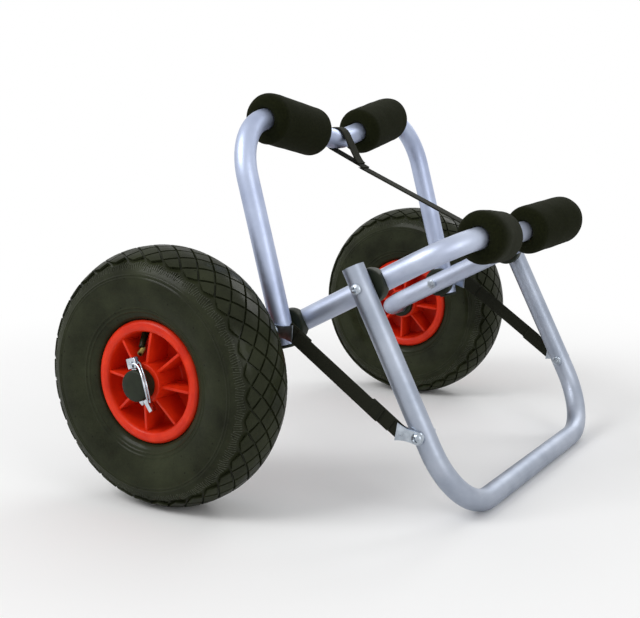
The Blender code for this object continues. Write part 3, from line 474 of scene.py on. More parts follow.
def bent_tube(corners, bends):
    shell = bmesh.new()
    first = (corners[1] - corners[0]).normalized()
    circle = bmesh.ops.create_circle(
        shell, cap_ends=False, segments=TUBE_SIDES, radius=TUBE_RADIUS,
        matrix=along(first, corners[0]))
    start_ring = ring_edges(circle["verts"])
    ring = start_ring
    here = corners[0]
    for before, corner, after, bend in zip(corners, corners[1:], corners[2:], bends):
        way_in = (corner - before).normalized()
        way_out = (after - corner).normalized()
        turn = way_in.angle(way_out)
        cut_back = bend * math.tan(turn / 2)
        bend_start = corner - way_in * cut_back
        inward = (way_out - way_in * way_in.dot(way_out)).normalized()
        spun = bmesh.ops.spin(
            shell, geom=push(shell, ring, bend_start - here), cent=bend_start + inward * bend,
            axis=way_in.cross(way_out).normalized(), dvec=(0, 0, 0), angle=turn,
            steps=max(4, round(turn / BEND_STEP)), use_merge=False, use_normal_flip=False,
            use_duplicate=False)
        ring = ring_edges(points_in(spun["geom_last"]))
        here = corner + way_out * cut_back
    ring = push(shell, ring, corners[-1] - here)
    turn_in(shell, ring, corners[-1], (corners[-2] - corners[-1]).normalized())
    turn_in(shell, start_ring, corners[0], first)
    clean(shell)
    return shell


# %% [markdown]
# The wheel frame is one tube with five bends. Its ends are the axle, its legs rise to the front
# bar, and the bar dips in the middle so that the board's hull has room. The back frame is a
# second tube with such a dip, and the kickstand a third without one.

# %% Wheel frame
LEG_HALF = 0.167
AXLE_FACE = 0.0485
FRAME_LENGTH, FRAME_DIP = 0.309, 0.0355
ELBOW_BEND, FRONT_BEND, DIP_BEND = 0.055, 0.052, 0.100


def mirrored(half):
    """Adds the other half of a symmetrical line, whose middle point is given last."""
    return half + [Vector((p.x, -p.y, p.z)) for p in reversed(half[:-1])]


front_corner = axle + frame_way * FRAME_LENGTH
front_dip = axle + frame_way * (FRAME_LENGTH - FRAME_DIP)
frame_corners = mirrored([
    axle + ACROSS * (wheel_half_track + AXLE_FACE), axle + ACROSS * LEG_HALF,
    front_corner + ACROSS * LEG_HALF, front_dip])
finish_piece(
    bent_tube(frame_corners, [ELBOW_BEND, FRONT_BEND, DIP_BEND, FRONT_BEND, ELBOW_BEND]),
    "wheel_frame", pale_aluminium, "cart_frame", ["wheel_frame_tube"])

# %% Back frame and kickstand
OUTER_HALF = 0.195
BACK_LENGTH, BACK_BELOW, BACK_DIP, BACK_BEND = 0.2266, 0.017, 0.037, 0.060
STAND_ABOVE, STAND_BEND = 0.022, 0.070
back_low = back_pivot - back_way * BACK_BELOW
back_corner = back_pivot + back_way * BACK_LENGTH
back_dip = back_pivot + back_way * (BACK_LENGTH - BACK_DIP)
back_corners = mirrored([
    back_low + ACROSS * OUTER_HALF, back_corner + ACROSS * OUTER_HALF, back_dip])
finish_piece(
    bent_tube(back_corners, [BACK_BEND, DIP_BEND, BACK_BEND]),
    "back_frame", aluminium, "back_frame", ["back_frame_tube"])

# The kickstand's bar touches the ground, so its line is one tube radius up
stand_length = (stand_pivot.z - TUBE_RADIUS) / -stand_way.z
stand_top = stand_pivot - stand_way * STAND_ABOVE
stand_foot = stand_pivot + stand_way * stand_length
stand_corners = [
    stand_top + ACROSS * OUTER_HALF, stand_foot + ACROSS * OUTER_HALF,
    stand_foot - ACROSS * OUTER_HALF, stand_top - ACROSS * OUTER_HALF]
# The kickstand wears the darker copy of the aluminium, which is painted shade
finish_piece(
    bent_tube(stand_corners, [STAND_BEND, STAND_BEND]),
    "kickstand", shaded_aluminium, "kickstand", ["kickstand_tube"])
print("kickstand leg", round(stand_length * 1000), "mm")

# %% [markdown]
# Round pieces are turned, as on a lathe: half of the outline is drawn beside the axis and spun
# once round it. Corners that a real tool or mould would leave soft get a small radius first,
# because a corner without one catches no light and looks like paper.

# %% Soften an outline
CORNER_STEPS = 3
# Two corners never share more than this of the edge between them
CORNER_SHARE = 0.45


def soft_corner(start, corner, end, steps):
    """Points of a curve from start to end that bends towards the corner."""
    shares = [step / steps for step in range(steps + 1)]
    return [start * (1 - t) ** 2 + corner * (2 * t * (1 - t)) + end * t ** 2 for t in shares]


def softened(outline, radius):
    """Outline of (distance from axis, height) with its inner corners rounded."""
    points = [Vector(pair) for pair in outline]
    made = [points[0]]
    for before, corner, after in zip(points, points[1:], points[2:]):
        back, ahead = before - corner, after - corner
        reach = min(radius, back.length * CORNER_SHARE, ahead.length * CORNER_SHARE)
        made += soft_corner(
            corner + back.normalized() * reach, corner, corner + ahead.normalized() * reach,
            CORNER_STEPS)
    made.append(points[-1])
    return [(point.x, point.y) for point in made]


# %% Turn a round piece
def turned(outline, steps, place=Matrix(), closed=False):
    """Spins an outline once round Z, then moves it to its place."""
    shell = bmesh.new()
    made = [shell.verts.new((distance, 0.0, height)) for distance, height in outline]
    lines = [shell.edges.new(pair) for pair in zip(made, made[1:])]
    if closed:
        lines.append(shell.edges.new((made[-1], made[0])))
    bmesh.ops.spin(
        shell, geom=made + lines, cent=(0, 0, 0), axis=(0, 0, 1), dvec=(0, 0, 0),
        angle=math.tau, steps=steps, use_merge=True, use_normal_flip=False,
        use_duplicate=False)
    clean(shell)
    shell.transform(place)
    return shell


def merge_into(shell, other):
    """Adds all of another shell, and frees it."""
    mesh = mesh_of(other, "other")
    shell.from_mesh(mesh)
    bpy.data.meshes.remove(mesh)


def facing_out(sign, place):
    """Matrix that turns +Z to the outside of the cart on one side."""
    return Matrix.Translation(place) @ Matrix.Rotation(-sign * math.pi / 2, 4, "X")


def wheel_centre(sign):
    """Middle of the wheel on one side."""
    return axle + ACROSS * wheel_half_track * sign


# %% [markdown]
# A tyre's outline is a smooth crown over a rounded shoulder. It is drawn through a few measured
# points with a curve that passes through each of them. The same curve later tells where a
# point of the tread lies, given only its distance from the middle of the crown.

# %% The tyre's outline
TYRE_RADIUS = 0.130
TYRE_OUTLINE = (
    (0.1301, 0.0), (0.1300, 0.0080), (0.1277, 0.0185), (0.1218, 0.0288), (0.1125, 0.0368),
    (0.1010, 0.0410), (0.0860, 0.0402), (0.0705, 0.0352), (0.0650, 0.0325), (0.0624, 0.0292),
    (0.0613, 0.0250))
OUTLINE_STEPS = 8


def smooth_line(points, steps):
    """Curve through the points, with even steps between each two of them."""
    points = [Vector(point) for point in points]
    padded = [points[0] * 2 - points[1], *points, points[-1] * 2 - points[-2]]
    made = []
    for a, b, c, d in zip(padded, padded[1:], padded[2:], padded[3:]):
        for step in range(steps):
            t = step / steps
            made.append(
                (b * 2 + (c - a) * t + (a * 2 - b * 5 + c * 4 - d) * t ** 2
                 + (b * 3 - a - c * 3 + d) * t ** 3) / 2)
    return made + [points[-1]]


# The crown is level in the middle, so the curve starts from a mirrored point
crown_line = smooth_line(((0.1300, -0.0080),) + TYRE_OUTLINE, OUTLINE_STEPS)[OUTLINE_STEPS:]
crown_reach = [0.0]
for before, after in zip(crown_line, crown_line[1:]):
    crown_reach.append(crown_reach[-1] + (after - before).length)
print("from crown to bead", round(crown_reach[-1] * 1000, 1), "mm")


def on_outline(reach):
    """Radius and width at this distance from the crown's middle, and the way out of it."""
    size = min(abs(reach), crown_reach[-1] - 1e-6)
    index = max(i for i, value in enumerate(crown_reach) if value <= size)
    step = crown_reach[index + 1] - crown_reach[index]
    point = crown_line[index].lerp(crown_line[index + 1], (size - crown_reach[index]) / step)
    run = (crown_line[index + 1] - crown_line[index]).normalized()
    side = -1.0 if reach < 0 else 1.0
    return point.x, point.y * side, run.y, -run.x * side


# %% [markdown]
# The tread is a net of diamonds, 34 round the tyre in seven rows, cut apart by grooves about
# 2.3 mm wide and 2 mm deep. A mould maker would draw it flat. So one block is made flat from a
# small grid turned by 45 degrees, its rim is pulled down to form the groove's walls, and copies
# of it are laid out on a strip. The last step rolls the strip round the tyre. Each block has
# only 22 faces, because there are more than two hundred blocks.

# %% One tread block, laid out flat
BLOCKS_ROUND = 34
OUTER_ROW = 3
PITCH = math.tau * TYRE_RADIUS / BLOCKS_ROUND
ROW = 0.0104
GROOVE = 0.0023
GROOVE_DEPTH = 0.0020
# Cut from each tip of a diamond, this leaves its sides one groove away from the next
TIP_CUT = GROOVE * 0.72
FOOT_SPREAD, FOOT_SUNK = 1.05, 0.0004
# The tread rises towards its edge, from here to here across it
EDGE_RISE, RISE_START, RISE_END = 0.0012, 2.3 * ROW, 3.0 * ROW
TREAD_EDGE = OUTER_ROW * ROW
SHOULDER_SHARE = 0.45


def tread_block(shell, column, row):
    """Diamond whose middle is at this column and row of the net."""
    made = bmesh.ops.create_grid(shell, x_segments=3, y_segments=3, size=0.5)["verts"]
    rim = [edge for edge in ring_edges(made) if len(edge.link_faces) == 1]
    foot = grow(shell, rim)
    bmesh.ops.scale(shell, verts=foot, vec=(FOOT_SPREAD, FOOT_SPREAD, 1.0))
    bmesh.ops.translate(shell, verts=foot, vec=(0.0, 0.0, -GROOVE_DEPTH - FOOT_SUNK))
    bmesh.ops.contextual_create(shell, geom=ring_edges(foot))
    block = made + foot
    bmesh.ops.rotate(
        shell, verts=block, cent=(0, 0, 0), matrix=Matrix.Rotation(math.pi / 4, 3, "Z"))
    bmesh.ops.scale(
        shell, verts=block,
        vec=((PITCH - TIP_CUT * 2) / math.sqrt(2), (2 * ROW - TIP_CUT * 2) / math.sqrt(2), 1.0))
    for vert in block:
        # The outer half of an outer block stops short, which makes the tread's zigzag edge
        if abs(row) == OUTER_ROW and vert.co.y * row > 0:
            vert.co.y *= SHOULDER_SHARE
        vert.co.x += PITCH * column
        vert.co.y += ROW * row
        edge = min(1.0, max(0.0, (abs(vert.co.y) - RISE_START) / (RISE_END - RISE_START)))
        vert.co.z += EDGE_RISE * edge


# %% Roll the strip up
def roll_up(shell):
    """Rolls a strip of tread round the wheel's Z axis."""
    for vert in shell.verts:
        radius, width, out_radius, out_width = on_outline(vert.co.y)
        angle = vert.co.x / TYRE_RADIUS
        lift = vert.co.z
        distance = radius + out_radius * lift
        vert.co = Vector((
            distance * math.cos(angle), distance * math.sin(angle), width + out_width * lift))


# %% [markdown]
# Under the blocks lies the casing, turned from the same outline but sunk by the depth of the
# grooves as far as the shoulder. Fine raised rings run round the sidewall. The casing is a hose:
# its outline goes on over the bead's foot and back round the air space, so it is closed and
# hollow.

# %% Casing
CASING_STEPS = BLOCKS_ROUND * 4
CASING_POINTS = 150
# The sunk floor of the grooves comes up to the full outline between these
FADE_START, FADE_END = TREAD_EDGE + ROW * 0.10, TREAD_EDGE + ROW * 0.95
RING_HEIGHT = RING_WIDTH = 0.0007
SIDE_RINGS = (0.1055, 0.1030, 0.0735, 0.0700)
BEAD_FOOT = ((0.0613, 0.0249), (0.0522, 0.0249), (0.0522, 0.0160), (0.0560, 0.0120))
AIR_SPACE = (
    (0.0620, 0.0190), (0.0700, 0.0275), (0.0860, 0.0355), (0.1010, 0.0362), (0.1105, 0.0325),
    (0.1185, 0.0250), (0.1232, 0.0150), (0.1244, 0.0060))


def casing_outline():
    """Half outline of the casing, from the crown's middle to the bead."""
    made = []
    for step in range(CASING_POINTS + 1):
        reach = crown_reach[-1] * step / CASING_POINTS
        radius, width, out_radius, out_width = on_outline(reach)
        fade = min(1.0, max(0.0, (FADE_END - reach) / (FADE_END - FADE_START)))
        lift = -GROOVE_DEPTH * fade * fade * (3 - 2 * fade)
        if reach > TREAD_EDGE + ROW:
            for ring in SIDE_RINGS:
                lift += RING_HEIGHT * math.exp(-((radius - ring) / RING_WIDTH) ** 2)
        made.append((radius + out_radius * lift, width + out_width * lift))
    return made


# %% [markdown]
# On each shoulder the mould has cut nine fine ribs a block, which stiffen it. They start just
# beyond the blocks' zigzag edge, and their lengths and heights vary a little. A rib is one cube
# whose top is made shorter and narrower than its foot, so it stays at six faces.

# %% Shoulder ribs
RIBS_A_BLOCK = 9
RIB_BY_TIP, RIB_BY_NOTCH, RIB_INNER_END = 0.0392, 0.0362, 0.0470
RIB_HEIGHT, RIB_SUNK = 0.0007, 0.0003
RIB_TOP, RIB_FOOT, RIB_TOP_LENGTH = 0.0004, 0.0011, 0.6
RIB_LEAN = 0.22
END_SCATTER, HEIGHT_SCATTER = (0.0, 0.0030), (0.45, 1.1)
chance = random.Random(4)


def shoulder_rib(shell, column, share, side):
    """Low ridge across the shoulder, this share of the way from one block's tip to the next."""
    start = RIB_BY_NOTCH + (RIB_BY_TIP - RIB_BY_NOTCH) * abs(2 * share - 1)
    end = RIB_INNER_END - chance.uniform(*END_SCATTER)
    middle = (start + end) / 2
    height = RIB_HEIGHT * chance.uniform(*HEIGHT_SCATTER)
    lean = RIB_LEAN if share < 0.5 else -RIB_LEAN
    for vert in bmesh.ops.create_cube(shell, size=1.0)["verts"]:
        top = vert.co.z > 0
        half = (end - start) / 2 * (RIB_TOP_LENGTH if top else 1.0)
        reach = middle + math.copysign(half, vert.co.y)
        shift = lean * (reach - middle) + vert.co.x * (RIB_TOP if top else RIB_FOOT)
        vert.co = Vector((
            PITCH * (column + share) + shift, side * reach, height if top else -RIB_SUNK))


# %% Both tyres
TYRE_CREASE = 28.0


def tyre(side, sign):
    tread = bmesh.new()
    ribs = bmesh.new()
    for column in range(BLOCKS_ROUND):
        for row in range(-OUTER_ROW, OUTER_ROW + 1):
            tread_block(tread, column + (0.0 if row % 2 else 0.5), row)
        for rib_side in (-1, 1):
            for rib in range(RIBS_A_BLOCK):
                shoulder_rib(ribs, column, (rib + 0.5) / RIBS_A_BLOCK, rib_side)
    for shell in (tread, ribs):
        bmesh.ops.recalc_face_normals(shell, faces=shell.faces)
        roll_up(shell)
    half = casing_outline() + list(BEAD_FOOT) + list(AIR_SPACE)
    outline = [(r, -w) for r, w in reversed(half[1:])] + half
    merge_into(tread, turned(outline, CASING_STEPS, closed=True))
    for shell, name, surface, solids in (
            (tread, "tyre_skin_", rubber, ["tyre_" + side]),
            (ribs, "shoulder_ribs_", rib_sheen_rubber, [])):
        shell.transform(facing_out(sign, wheel_centre(sign)))
        finish_piece(shell, name + side, surface, side + "_wheel", solids, TYRE_CREASE)


for side, sign in SIDES:
    tyre(side, sign)
print("blocks on a tyre", BLOCKS_ROUND * (2 * OUTER_ROW + 1))

# %% [markdown]
# The rim is one moulding: a barrel that the tyre's beads sit on, a thin web across its middle, a
# hub, and eight straight ribs from hub to barrel. Barrel, web and hub are one turned outline.
# A rib is a block whose outer end is lower than its hub end, with softened edges, and its copies
# are turned into place. Ribs and barrel may cross, because the plastic runs together there.

# %% Round off edges
def edges_of(points):
    return list({edge for point in points for edge in point.link_edges})


def round_edges(shell, edges, size, segments=2):
    return bmesh.ops.bevel(
        shell, geom=edges, offset=size, offset_type="OFFSET", affect="EDGES",
        segments=segments, profile=0.5, material=-1)


# %% Rims
RIM_STEPS, RIM_CREASE = 96, 40.0
RIM_CORNER, RIB_CORNER = 0.0012, 0.0007
RIB_COUNT = 8
RIB_THICKNESS = 0.00289
RIB_PHASE = math.radians(-5.5)
HUB_RADIUS, HUB_HALF, WEB_HALF = 0.0200, 0.0363, 0.0025
BARREL_RADIUS, LIP_RADIUS = 0.0460, 0.0493
RIB_HUB_HALF, RIB_LIP_HALF = 0.0332, 0.0283
RIB_START, RIB_END = HUB_RADIUS - 0.004, 0.0500
RIM_HALF = (
    (0.0518, 0.0150), (0.0518, 0.0250), (0.0608, 0.0252), (0.0610, 0.0286), (0.0585, 0.0312),
    (0.0545, 0.0319), (0.0508, 0.0308), (LIP_RADIUS, RIB_LIP_HALF), (0.0472, 0.0100),
    (BARREL_RADIUS, WEB_HALF), (0.0212, WEB_HALF), (HUB_RADIUS, 0.0060),
    (HUB_RADIUS - 0.0003, HUB_HALF), (0.0116, HUB_HALF))


def rim_rib(shell, clock):
    block = bmesh.ops.create_cube(shell, size=1.0)["verts"]
    for vert in block:
        outer_end = vert.co.x > 0
        half = RIB_LIP_HALF if outer_end else RIB_HUB_HALF
        vert.co = Vector((
            RIB_END if outer_end else RIB_START, vert.co.y * RIB_THICKNESS,
            math.copysign(half, vert.co.z)))
    rounded = round_edges(shell, edges_of(block), RIB_CORNER)
    whole = list({vert for face in rounded["faces"] for vert in face.verts})
    bmesh.ops.rotate(
        shell, verts=whole, cent=(0, 0, 0), matrix=Matrix.Rotation(clock, 3, "Z"))


for side, sign in SIDES:
    shell = bmesh.new()
    for number in range(RIB_COUNT):
        rim_rib(shell, -sign * (math.pi / 2 + RIB_PHASE + number * math.tau / RIB_COUNT))
    half = softened(RIM_HALF, RIM_CORNER)
    outline = half + [(r, -w) for r, w in reversed(half)]
    merge_into(shell, turned(outline, RIM_STEPS, closed=True))
    shell.transform(facing_out(sign, wheel_centre(sign)))
    finish_piece(
        shell, "rim_body_" + side, red_plastic, side + "_wheel", ["rim_" + side], RIM_CREASE)

# %% [markdown]
# The valve has two parts: a black rubber stem that bulges out of the barrel, and a brass tip
# with a thread for the cap, which leans outwards so that a pump can reach it.

# %% Valves
VALVE_ANGLE = 107.0
# Distance from the axle, and outwards from the wheel's middle plane
VALVE_FOOT, VALVE_HEAD = (0.0520, 0.0105), (0.0280, 0.0300)
VALVE_LEAN = 0.8
VALVE_STEPS, VALVE_CORNER = 32, 0.0006
THREAD_PITCH, THREAD_DEPTH = 0.0008, 0.00036


def thread(radius, start, end):
    """Outline of a thread, crest and root in turn, from one height down to another."""
    made = []
    height = start
    while height > end:
        made.append((radius, height))
        made.append((radius - THREAD_DEPTH, height - THREAD_PITCH / 2))
        height -= THREAD_PITCH
    return made


for side, sign in SIDES:
    foot, head = [
        wheel_centre(sign) + heading(VALVE_ANGLE) * reach + ACROSS * out * sign
        for reach, out in (VALVE_FOOT, VALVE_HEAD)]
    way, length = (head - foot).normalized(), (head - foot).length
    stem = softened(
        [(0.0, length - 0.0075), (0.0026, length - 0.0075), (0.0030, length - 0.0090),
         (0.0036, 0.0060), (0.0048, 0.0030), (0.0052, -0.0015), (0.0, -0.0015)], VALVE_CORNER)
    finish_piece(
        turned(stem, VALVE_STEPS, along(way, foot)), "valve_stem_" + side, rubber,
        side + "_wheel")
    tip = [(0.0, length - 0.004), (0.0017, length - 0.004), (0.0018, length),
           (0.0025, length)] + thread(0.0030, length - 0.0003, length - 0.0078)
    tip += [(0.0030, length - 0.0085), (0.0, length - 0.0085)]
    lean = (way + ACROSS * VALVE_LEAN * sign).normalized()
    finish_piece(
        turned(tip, VALVE_STEPS, along(lean, head - lean * length)), "valve_tip_" + side, shaded_brass,
        side + "_wheel", ["valve_" + side])

# %% [markdown]
# Each bar wears a sleeve of foam on either side of its dip. The maker cuts it from a thick
# hose and pushes it on, so it bends where the bar bends and its ends bulge round.
# It is turned with a bore, and then each point is carried along the bar's own line.
# A slow noise of half a millimetre stands for the uneven skin of foam.

# %% A sleeve's outline
PAD_RADIUS, PAD_BORE, PAD_EDGE = 0.0266, 0.0114, 0.0100
PAD_SLICE = 0.0030
EDGE_STEPS = 8
# The mouth of the bore: how far each point lies from the bore, and in from the sleeve's end
PAD_MOUTH = ((0.0, 0.0025), (0.0008, 0.0008), (0.0022, 0.0))


def pad_outline(length):
    half = length / 2
    edge = []
    for step in range(EDGE_STEPS + 1):
        angle = math.pi / 2 * (1 - step / EDGE_STEPS)
        edge.append((PAD_RADIUS - PAD_EDGE + PAD_EDGE * math.cos(angle),
                     half - PAD_EDGE + PAD_EDGE * math.sin(angle)))
    slices = max(2, round((length - 2 * PAD_EDGE) / PAD_SLICE))
    side = [(PAD_RADIUS, (half - PAD_EDGE) * (1 - 2 * step / slices))
            for step in range(1, slices)]
    mouth = [(PAD_BORE + out, half - inward) for out, inward in PAD_MOUTH]
    bore = [(PAD_BORE, mouth[0][1] * (2 * step / slices - 1)) for step in range(1, slices)]
    end = mouth + edge
    return end + side + [(radius, -height) for radius, height in reversed(end)] + bore


# %% Foam sleeves
PAD_STEPS, PAD_CREASE = 72, 60.0
# Only the outer skin swells. Each sleeve reads another part of the noise
SWELL_BEYOND = PAD_BORE + 0.0030
SWELL, SWELL_SCALE, SWELL_SHIFT = 0.00045, 55.0, 70.0
# Distance of a sleeve's middle from the corner, and its length
FRONT_SLEEVE, BACK_SLEEVE = (0.0907, 0.090), (0.1020, 0.097)


def sleeve(name, corner, dip, leg_way, bend, from_corner, length, body, solid):
    """Sleeve whose middle is from_corner metres back from the corner, along the bar."""
    way_in = (corner - dip).normalized()
    turn = way_in.angle(leg_way)
    cut_back = bend * math.tan(turn / 2)
    start = corner - way_in * cut_back
    inward = (leg_way - way_in * way_in.dot(leg_way)).normalized()
    centre = start + inward * bend
    axis = way_in.cross(leg_way).normalized()
    shell = turned(pad_outline(length), PAD_STEPS, closed=True)
    side_way = axis.cross(way_in)
    own_shift = Vector((corner.y, corner.x, corner.z)) * SWELL_SHIFT
    for vert in shell.verts:
        x, y, z = vert.co
        distance = math.hypot(x, y)
        if distance > SWELL_BEYOND:
            bulge = noise.noise(Vector((x, y, z)) * SWELL_SCALE + own_shift)
            swell = 1.0 + SWELL * bulge / distance
            x, y = x * swell, y * swell
        past = z - from_corner + cut_back
        flat = axis * x + side_way * y
        if past <= 0:
            vert.co = start + way_in * past + flat
        else:
            vert.co = centre + Matrix.Rotation(past / bend, 3, axis) @ (start + flat - centre)
    clean(shell)
    made = finish_piece(shell, name, foam, body, [solid], PAD_CREASE)


for side, sign in SIDES:
    sleeve(
        "front_sleeve_" + side, front_corner + ACROSS * LEG_HALF * sign, front_dip,
        -frame_way, FRONT_BEND, *FRONT_SLEEVE, "cart_frame", "front_pad_" + side)
    sleeve(
        "back_sleeve_" + side, back_corner + ACROSS * OUTER_HALF * sign, back_dip,
        -back_way, BACK_BEND, *BACK_SLEEVE, "back_frame", "back_pad_" + side)

# %% [markdown]
# Webbing is flat and flexible one way only. A strap is made from one cross-section, a thin
# lens with round selvedges, repeated at each point of a line and bridged from one to
# the next. Two numbers are kept for each point, metres along and metres across, and they
# become the UV map that the weave follows.

# %% Weave a strap
WEB_WIDTH = 0.016
STRAP_CREASE = 50.0
# Largest gap between rings of points, on a strap that bends and on a straight one
BENT_GAP, STRAIGHT_GAP = 0.003, 0.004


def strap_section(half, thin):
    """Points round the strap's section: distance across it, and up from its middle."""
    upper = [(share * (half - thin), thin) for share in (-1.0, -0.66, -0.33, 0.0, 0.33, 0.66, 1.0)]
    upper += [(half - thin * 0.3, thin * 0.6), (half, 0.0), (half - thin * 0.3, -thin * 0.6)]
    return upper + [(-a, -b) for a, b in upper]


def strap_shell(line, gap, across, thickness):
    """Strap along a line, with a ring of points at least this often."""
    points = []
    for before, after in zip(line, line[1:]):
        count = max(1, math.ceil((after - before).length / gap))
        points += [before.lerp(after, step / count) for step in range(count)]
    points.append(line[-1])
    shell = bmesh.new()
    section = strap_section(WEB_WIDTH / 2, thickness / 2)
    place_of = {}
    rings = []
    run = 0.0
    for index, point in enumerate(points):
        before = points[max(0, index - 1)]
        after = points[min(len(points) - 1, index + 1)]
        run += (point - before).length
        normal = across.cross((after - before).normalized())
        ring = [shell.verts.new(point + across * a + normal * b) for a, b in section]
        for vert, (a, b) in zip(ring, section):
            place_of[vert] = (run, a)
        rings.append([shell.edges.new(pair) for pair in zip(ring, ring[1:] + ring[:1])])
    for first, second in zip(rings, rings[1:]):
        bmesh.ops.bridge_loops(shell, edges=first + second)
    for end in (rings[0], rings[-1]):
        bmesh.ops.contextual_create(shell, geom=end)
    layer = shell.loops.layers.uv.new("UVMap")
    for face in shell.faces:
        for loop in face.loops:
            loop[layer].uv = place_of[loop.vert]
    bmesh.ops.recalc_face_normals(shell, faces=shell.faces)
    return shell


# %% [markdown]
# A stitched strap end shows rows of thread. Each stitch is a short fat lozenge, half sunk
# in the weave. They are made from one small cube each, bevelled to a few faces.

# %% Stitches
STITCH, STITCH_EDGE = (0.0022, 0.0006, 0.0005), 0.00015
STITCH_PITCH = 0.0031


def add_stitches(shell, start, end, normal):
    """Row of stitches from one point to another, on a face with this normal."""
    run = end - start
    way = run.normalized()
    count = max(2, round(run.length / STITCH_PITCH))
    for number in range(count):
        turn = axes_at(way, normal.cross(way), normal, start + run * ((number + 0.5) / count))
        made = bmesh.ops.create_cube(
            shell, size=1.0, matrix=turn @ Matrix.Diagonal((*STITCH, 1.0)))["verts"]
        round_edges(shell, edges_of(made), STITCH_EDGE, 1)


# %% [markdown]
# Side straps stop the kickstand from swinging past its place. At each end the webbing is folded
# back on itself and held in a pressed steel bracket. The long middle run lies outside the two
# folded ends and is sewn to them at the two knees, where it hinges when the cart is folded.

# %% Where the side straps run
GAP = 0.0003
RUN_THICKNESS = 0.0014
BRACKET_THICKNESS, BRACKET_REACH, BRACKET_HALF = 0.0044, 0.0225, 0.0090
UPPER_BRACKET_TURN, LOWER_BRACKET_TURN = -4.0, 170.0
LOWER_EDGE_OFFSET = 0.002
LOWER_KNEE_FROM_EDGE = 0.0273
bracket_inner = OUTER_HALF + TUBE_RADIUS + GAP
bracket_outer = bracket_inner + BRACKET_THICKNESS
fork_middle = bracket_inner + BRACKET_THICKNESS / 2
web_middle = bracket_outer + GAP + RUN_THICKNESS / 2
lower_edge = (
    strap_anchor + heading(LOWER_BRACKET_TURN) * BRACKET_REACH
    + heading(LOWER_BRACKET_TURN - 90.0) * LOWER_EDGE_OFFSET)
strap_way = (lower_edge - upper_knee).normalized()
lower_knee = lower_edge - strap_way * LOWER_KNEE_FROM_EDGE
strap_up = Vector((-strap_way.z, 0.0, strap_way.x))


# %% Folded ends
END_THICKNESS, LAYER_STEP = 0.0013, 0.00145
FOLD_REACH, FOLD_BULGE, FOLD_STEPS = 0.0068, 0.0007, 5
# Name, knee, direction, length hidden in the bracket, length doubled back from the knee
STRAP_ENDS = (
    ("upper", upper_knee, strap_way, 0.0200, 0.0062),
    ("lower", lower_knee, -strap_way, 0.0330, 0.0208))


def folded_end(knee, way, hidden, doubled, sign):
    """Line of a strap end: out from its bracket, round, and back on itself."""
    def point(reach, layer):
        return knee + way * reach + ACROSS * (fork_middle + LAYER_STEP * layer) * sign

    line = [point(-hidden, 0.0)]
    for step in range(FOLD_STEPS + 1):
        angle = math.pi * step / FOLD_STEPS
        line.append(point(FOLD_REACH + FOLD_BULGE * math.sin(angle), (1 - math.cos(angle)) / 2))
    return line + [point(-doubled, 1.0)]


for side, sign in SIDES:
    for label, knee, way, hidden, doubled in STRAP_ENDS:
        line = folded_end(knee, way, hidden, doubled, sign)
        finish_piece(
            strap_shell(line, BENT_GAP, strap_up, END_THICKNESS),
            "strap_end_" + label + "_" + side, webbing, side + "_strap_" + label + "_end",
            ["strap_tab_" + label + "_" + side], STRAP_CREASE)

# %% Middle runs
RUN_PAST_KNEE = 0.0072
# The box of stitches at each knee: half its length, half its width, and where the rows along
# the strap lie
SEAM_LONG, SEAM_WIDE, SEAM_ROW = 0.0052, 0.0060, 0.00598
for side, sign in SIDES:
    middle = ACROSS * web_middle * sign
    web = strap_shell(
        [upper_knee - strap_way * RUN_PAST_KNEE + middle,
         lower_knee + strap_way * RUN_PAST_KNEE + middle], STRAIGHT_GAP, strap_up, RUN_THICKNESS)
    face = middle + ACROSS * (RUN_THICKNESS / 2) * sign
    for knee in (upper_knee, lower_knee):
        for half in (-1, 1):
            for start, end in (
                    ((SEAM_LONG * half, -SEAM_WIDE), (SEAM_LONG * half, SEAM_WIDE)),
                    ((-SEAM_LONG, SEAM_ROW * half), (SEAM_LONG, SEAM_ROW * half))):
                start, end = [knee + strap_way * a + strap_up * b + face for a, b in (start, end)]
                add_stitches(web, start, end, ACROSS * sign)
    finish_piece(
        web, "strap_run_" + side, webbing, side + "_strap_middle", ["strap_web_" + side],
        STRAP_CREASE)
print("side strap run", round((lower_knee - upper_knee).length * 1000), "mm between knees")

# %% [markdown]
# The top strap limits how far the back frame leans. A loop hugs each bar and is sewn shut a few
# centimetres from it, and a single layer joins the two. The loop's line runs under the bar and
# round it, then straight down to the seam, where a short curve lays it flat on itself.

# %% A loop round a bar
TOP_THICKNESS, LOOP_SLACK = 0.0016, 0.0005
# Distance from each bar to the middle of its seam, and how far the layers go on past that
TOP_FRONT_KNEE, TOP_REAR_KNEE = 0.04465, 0.04389
TOP_LAP = 0.0035
LOOP_STEPS = 28
SEAM_BEND, SEAM_STEPS = 0.0100, 6
loop_radius = TUBE_RADIUS + GAP + LOOP_SLACK + TOP_THICKNESS / 2
top_way = (back_bar - front_bar).normalized()
below = top_way.cross(ACROSS)
one_layer = below * (TOP_THICKNESS + GAP)


def bar_loop(bar, away, knee_distance):
    """Line from past the seam, under the bar, round it, and flat onto itself at the seam."""
    anchor = bar + below * loop_radius
    join = anchor + away * (knee_distance - 2 * TOP_LAP) - one_layer
    end = anchor + away * (knee_distance - TOP_LAP) - one_layer
    under = math.atan2(below.z, below.x)
    to_join = join - bar
    lean = math.acos(loop_radius / to_join.length)
    turn = 1.0 if away.x < 0 else -1.0
    sweep = ((math.atan2(to_join.z, to_join.x) - turn * lean - under) * turn) % math.tau
    line = [anchor + away * (knee_distance + TOP_LAP)]
    for step in range(LOOP_STEPS + 1):
        degrees = math.degrees(under + turn * sweep * step / LOOP_STEPS)
        line.append(bar + heading(degrees) * loop_radius)
    bend_start = join + (line[-1] - join).normalized() * SEAM_BEND
    return line + soft_corner(bend_start, join, end, SEAM_STEPS)


# %% Top strap
TOP_SEAM_LONG, TOP_SEAM_WIDE = 0.0022, 0.0065


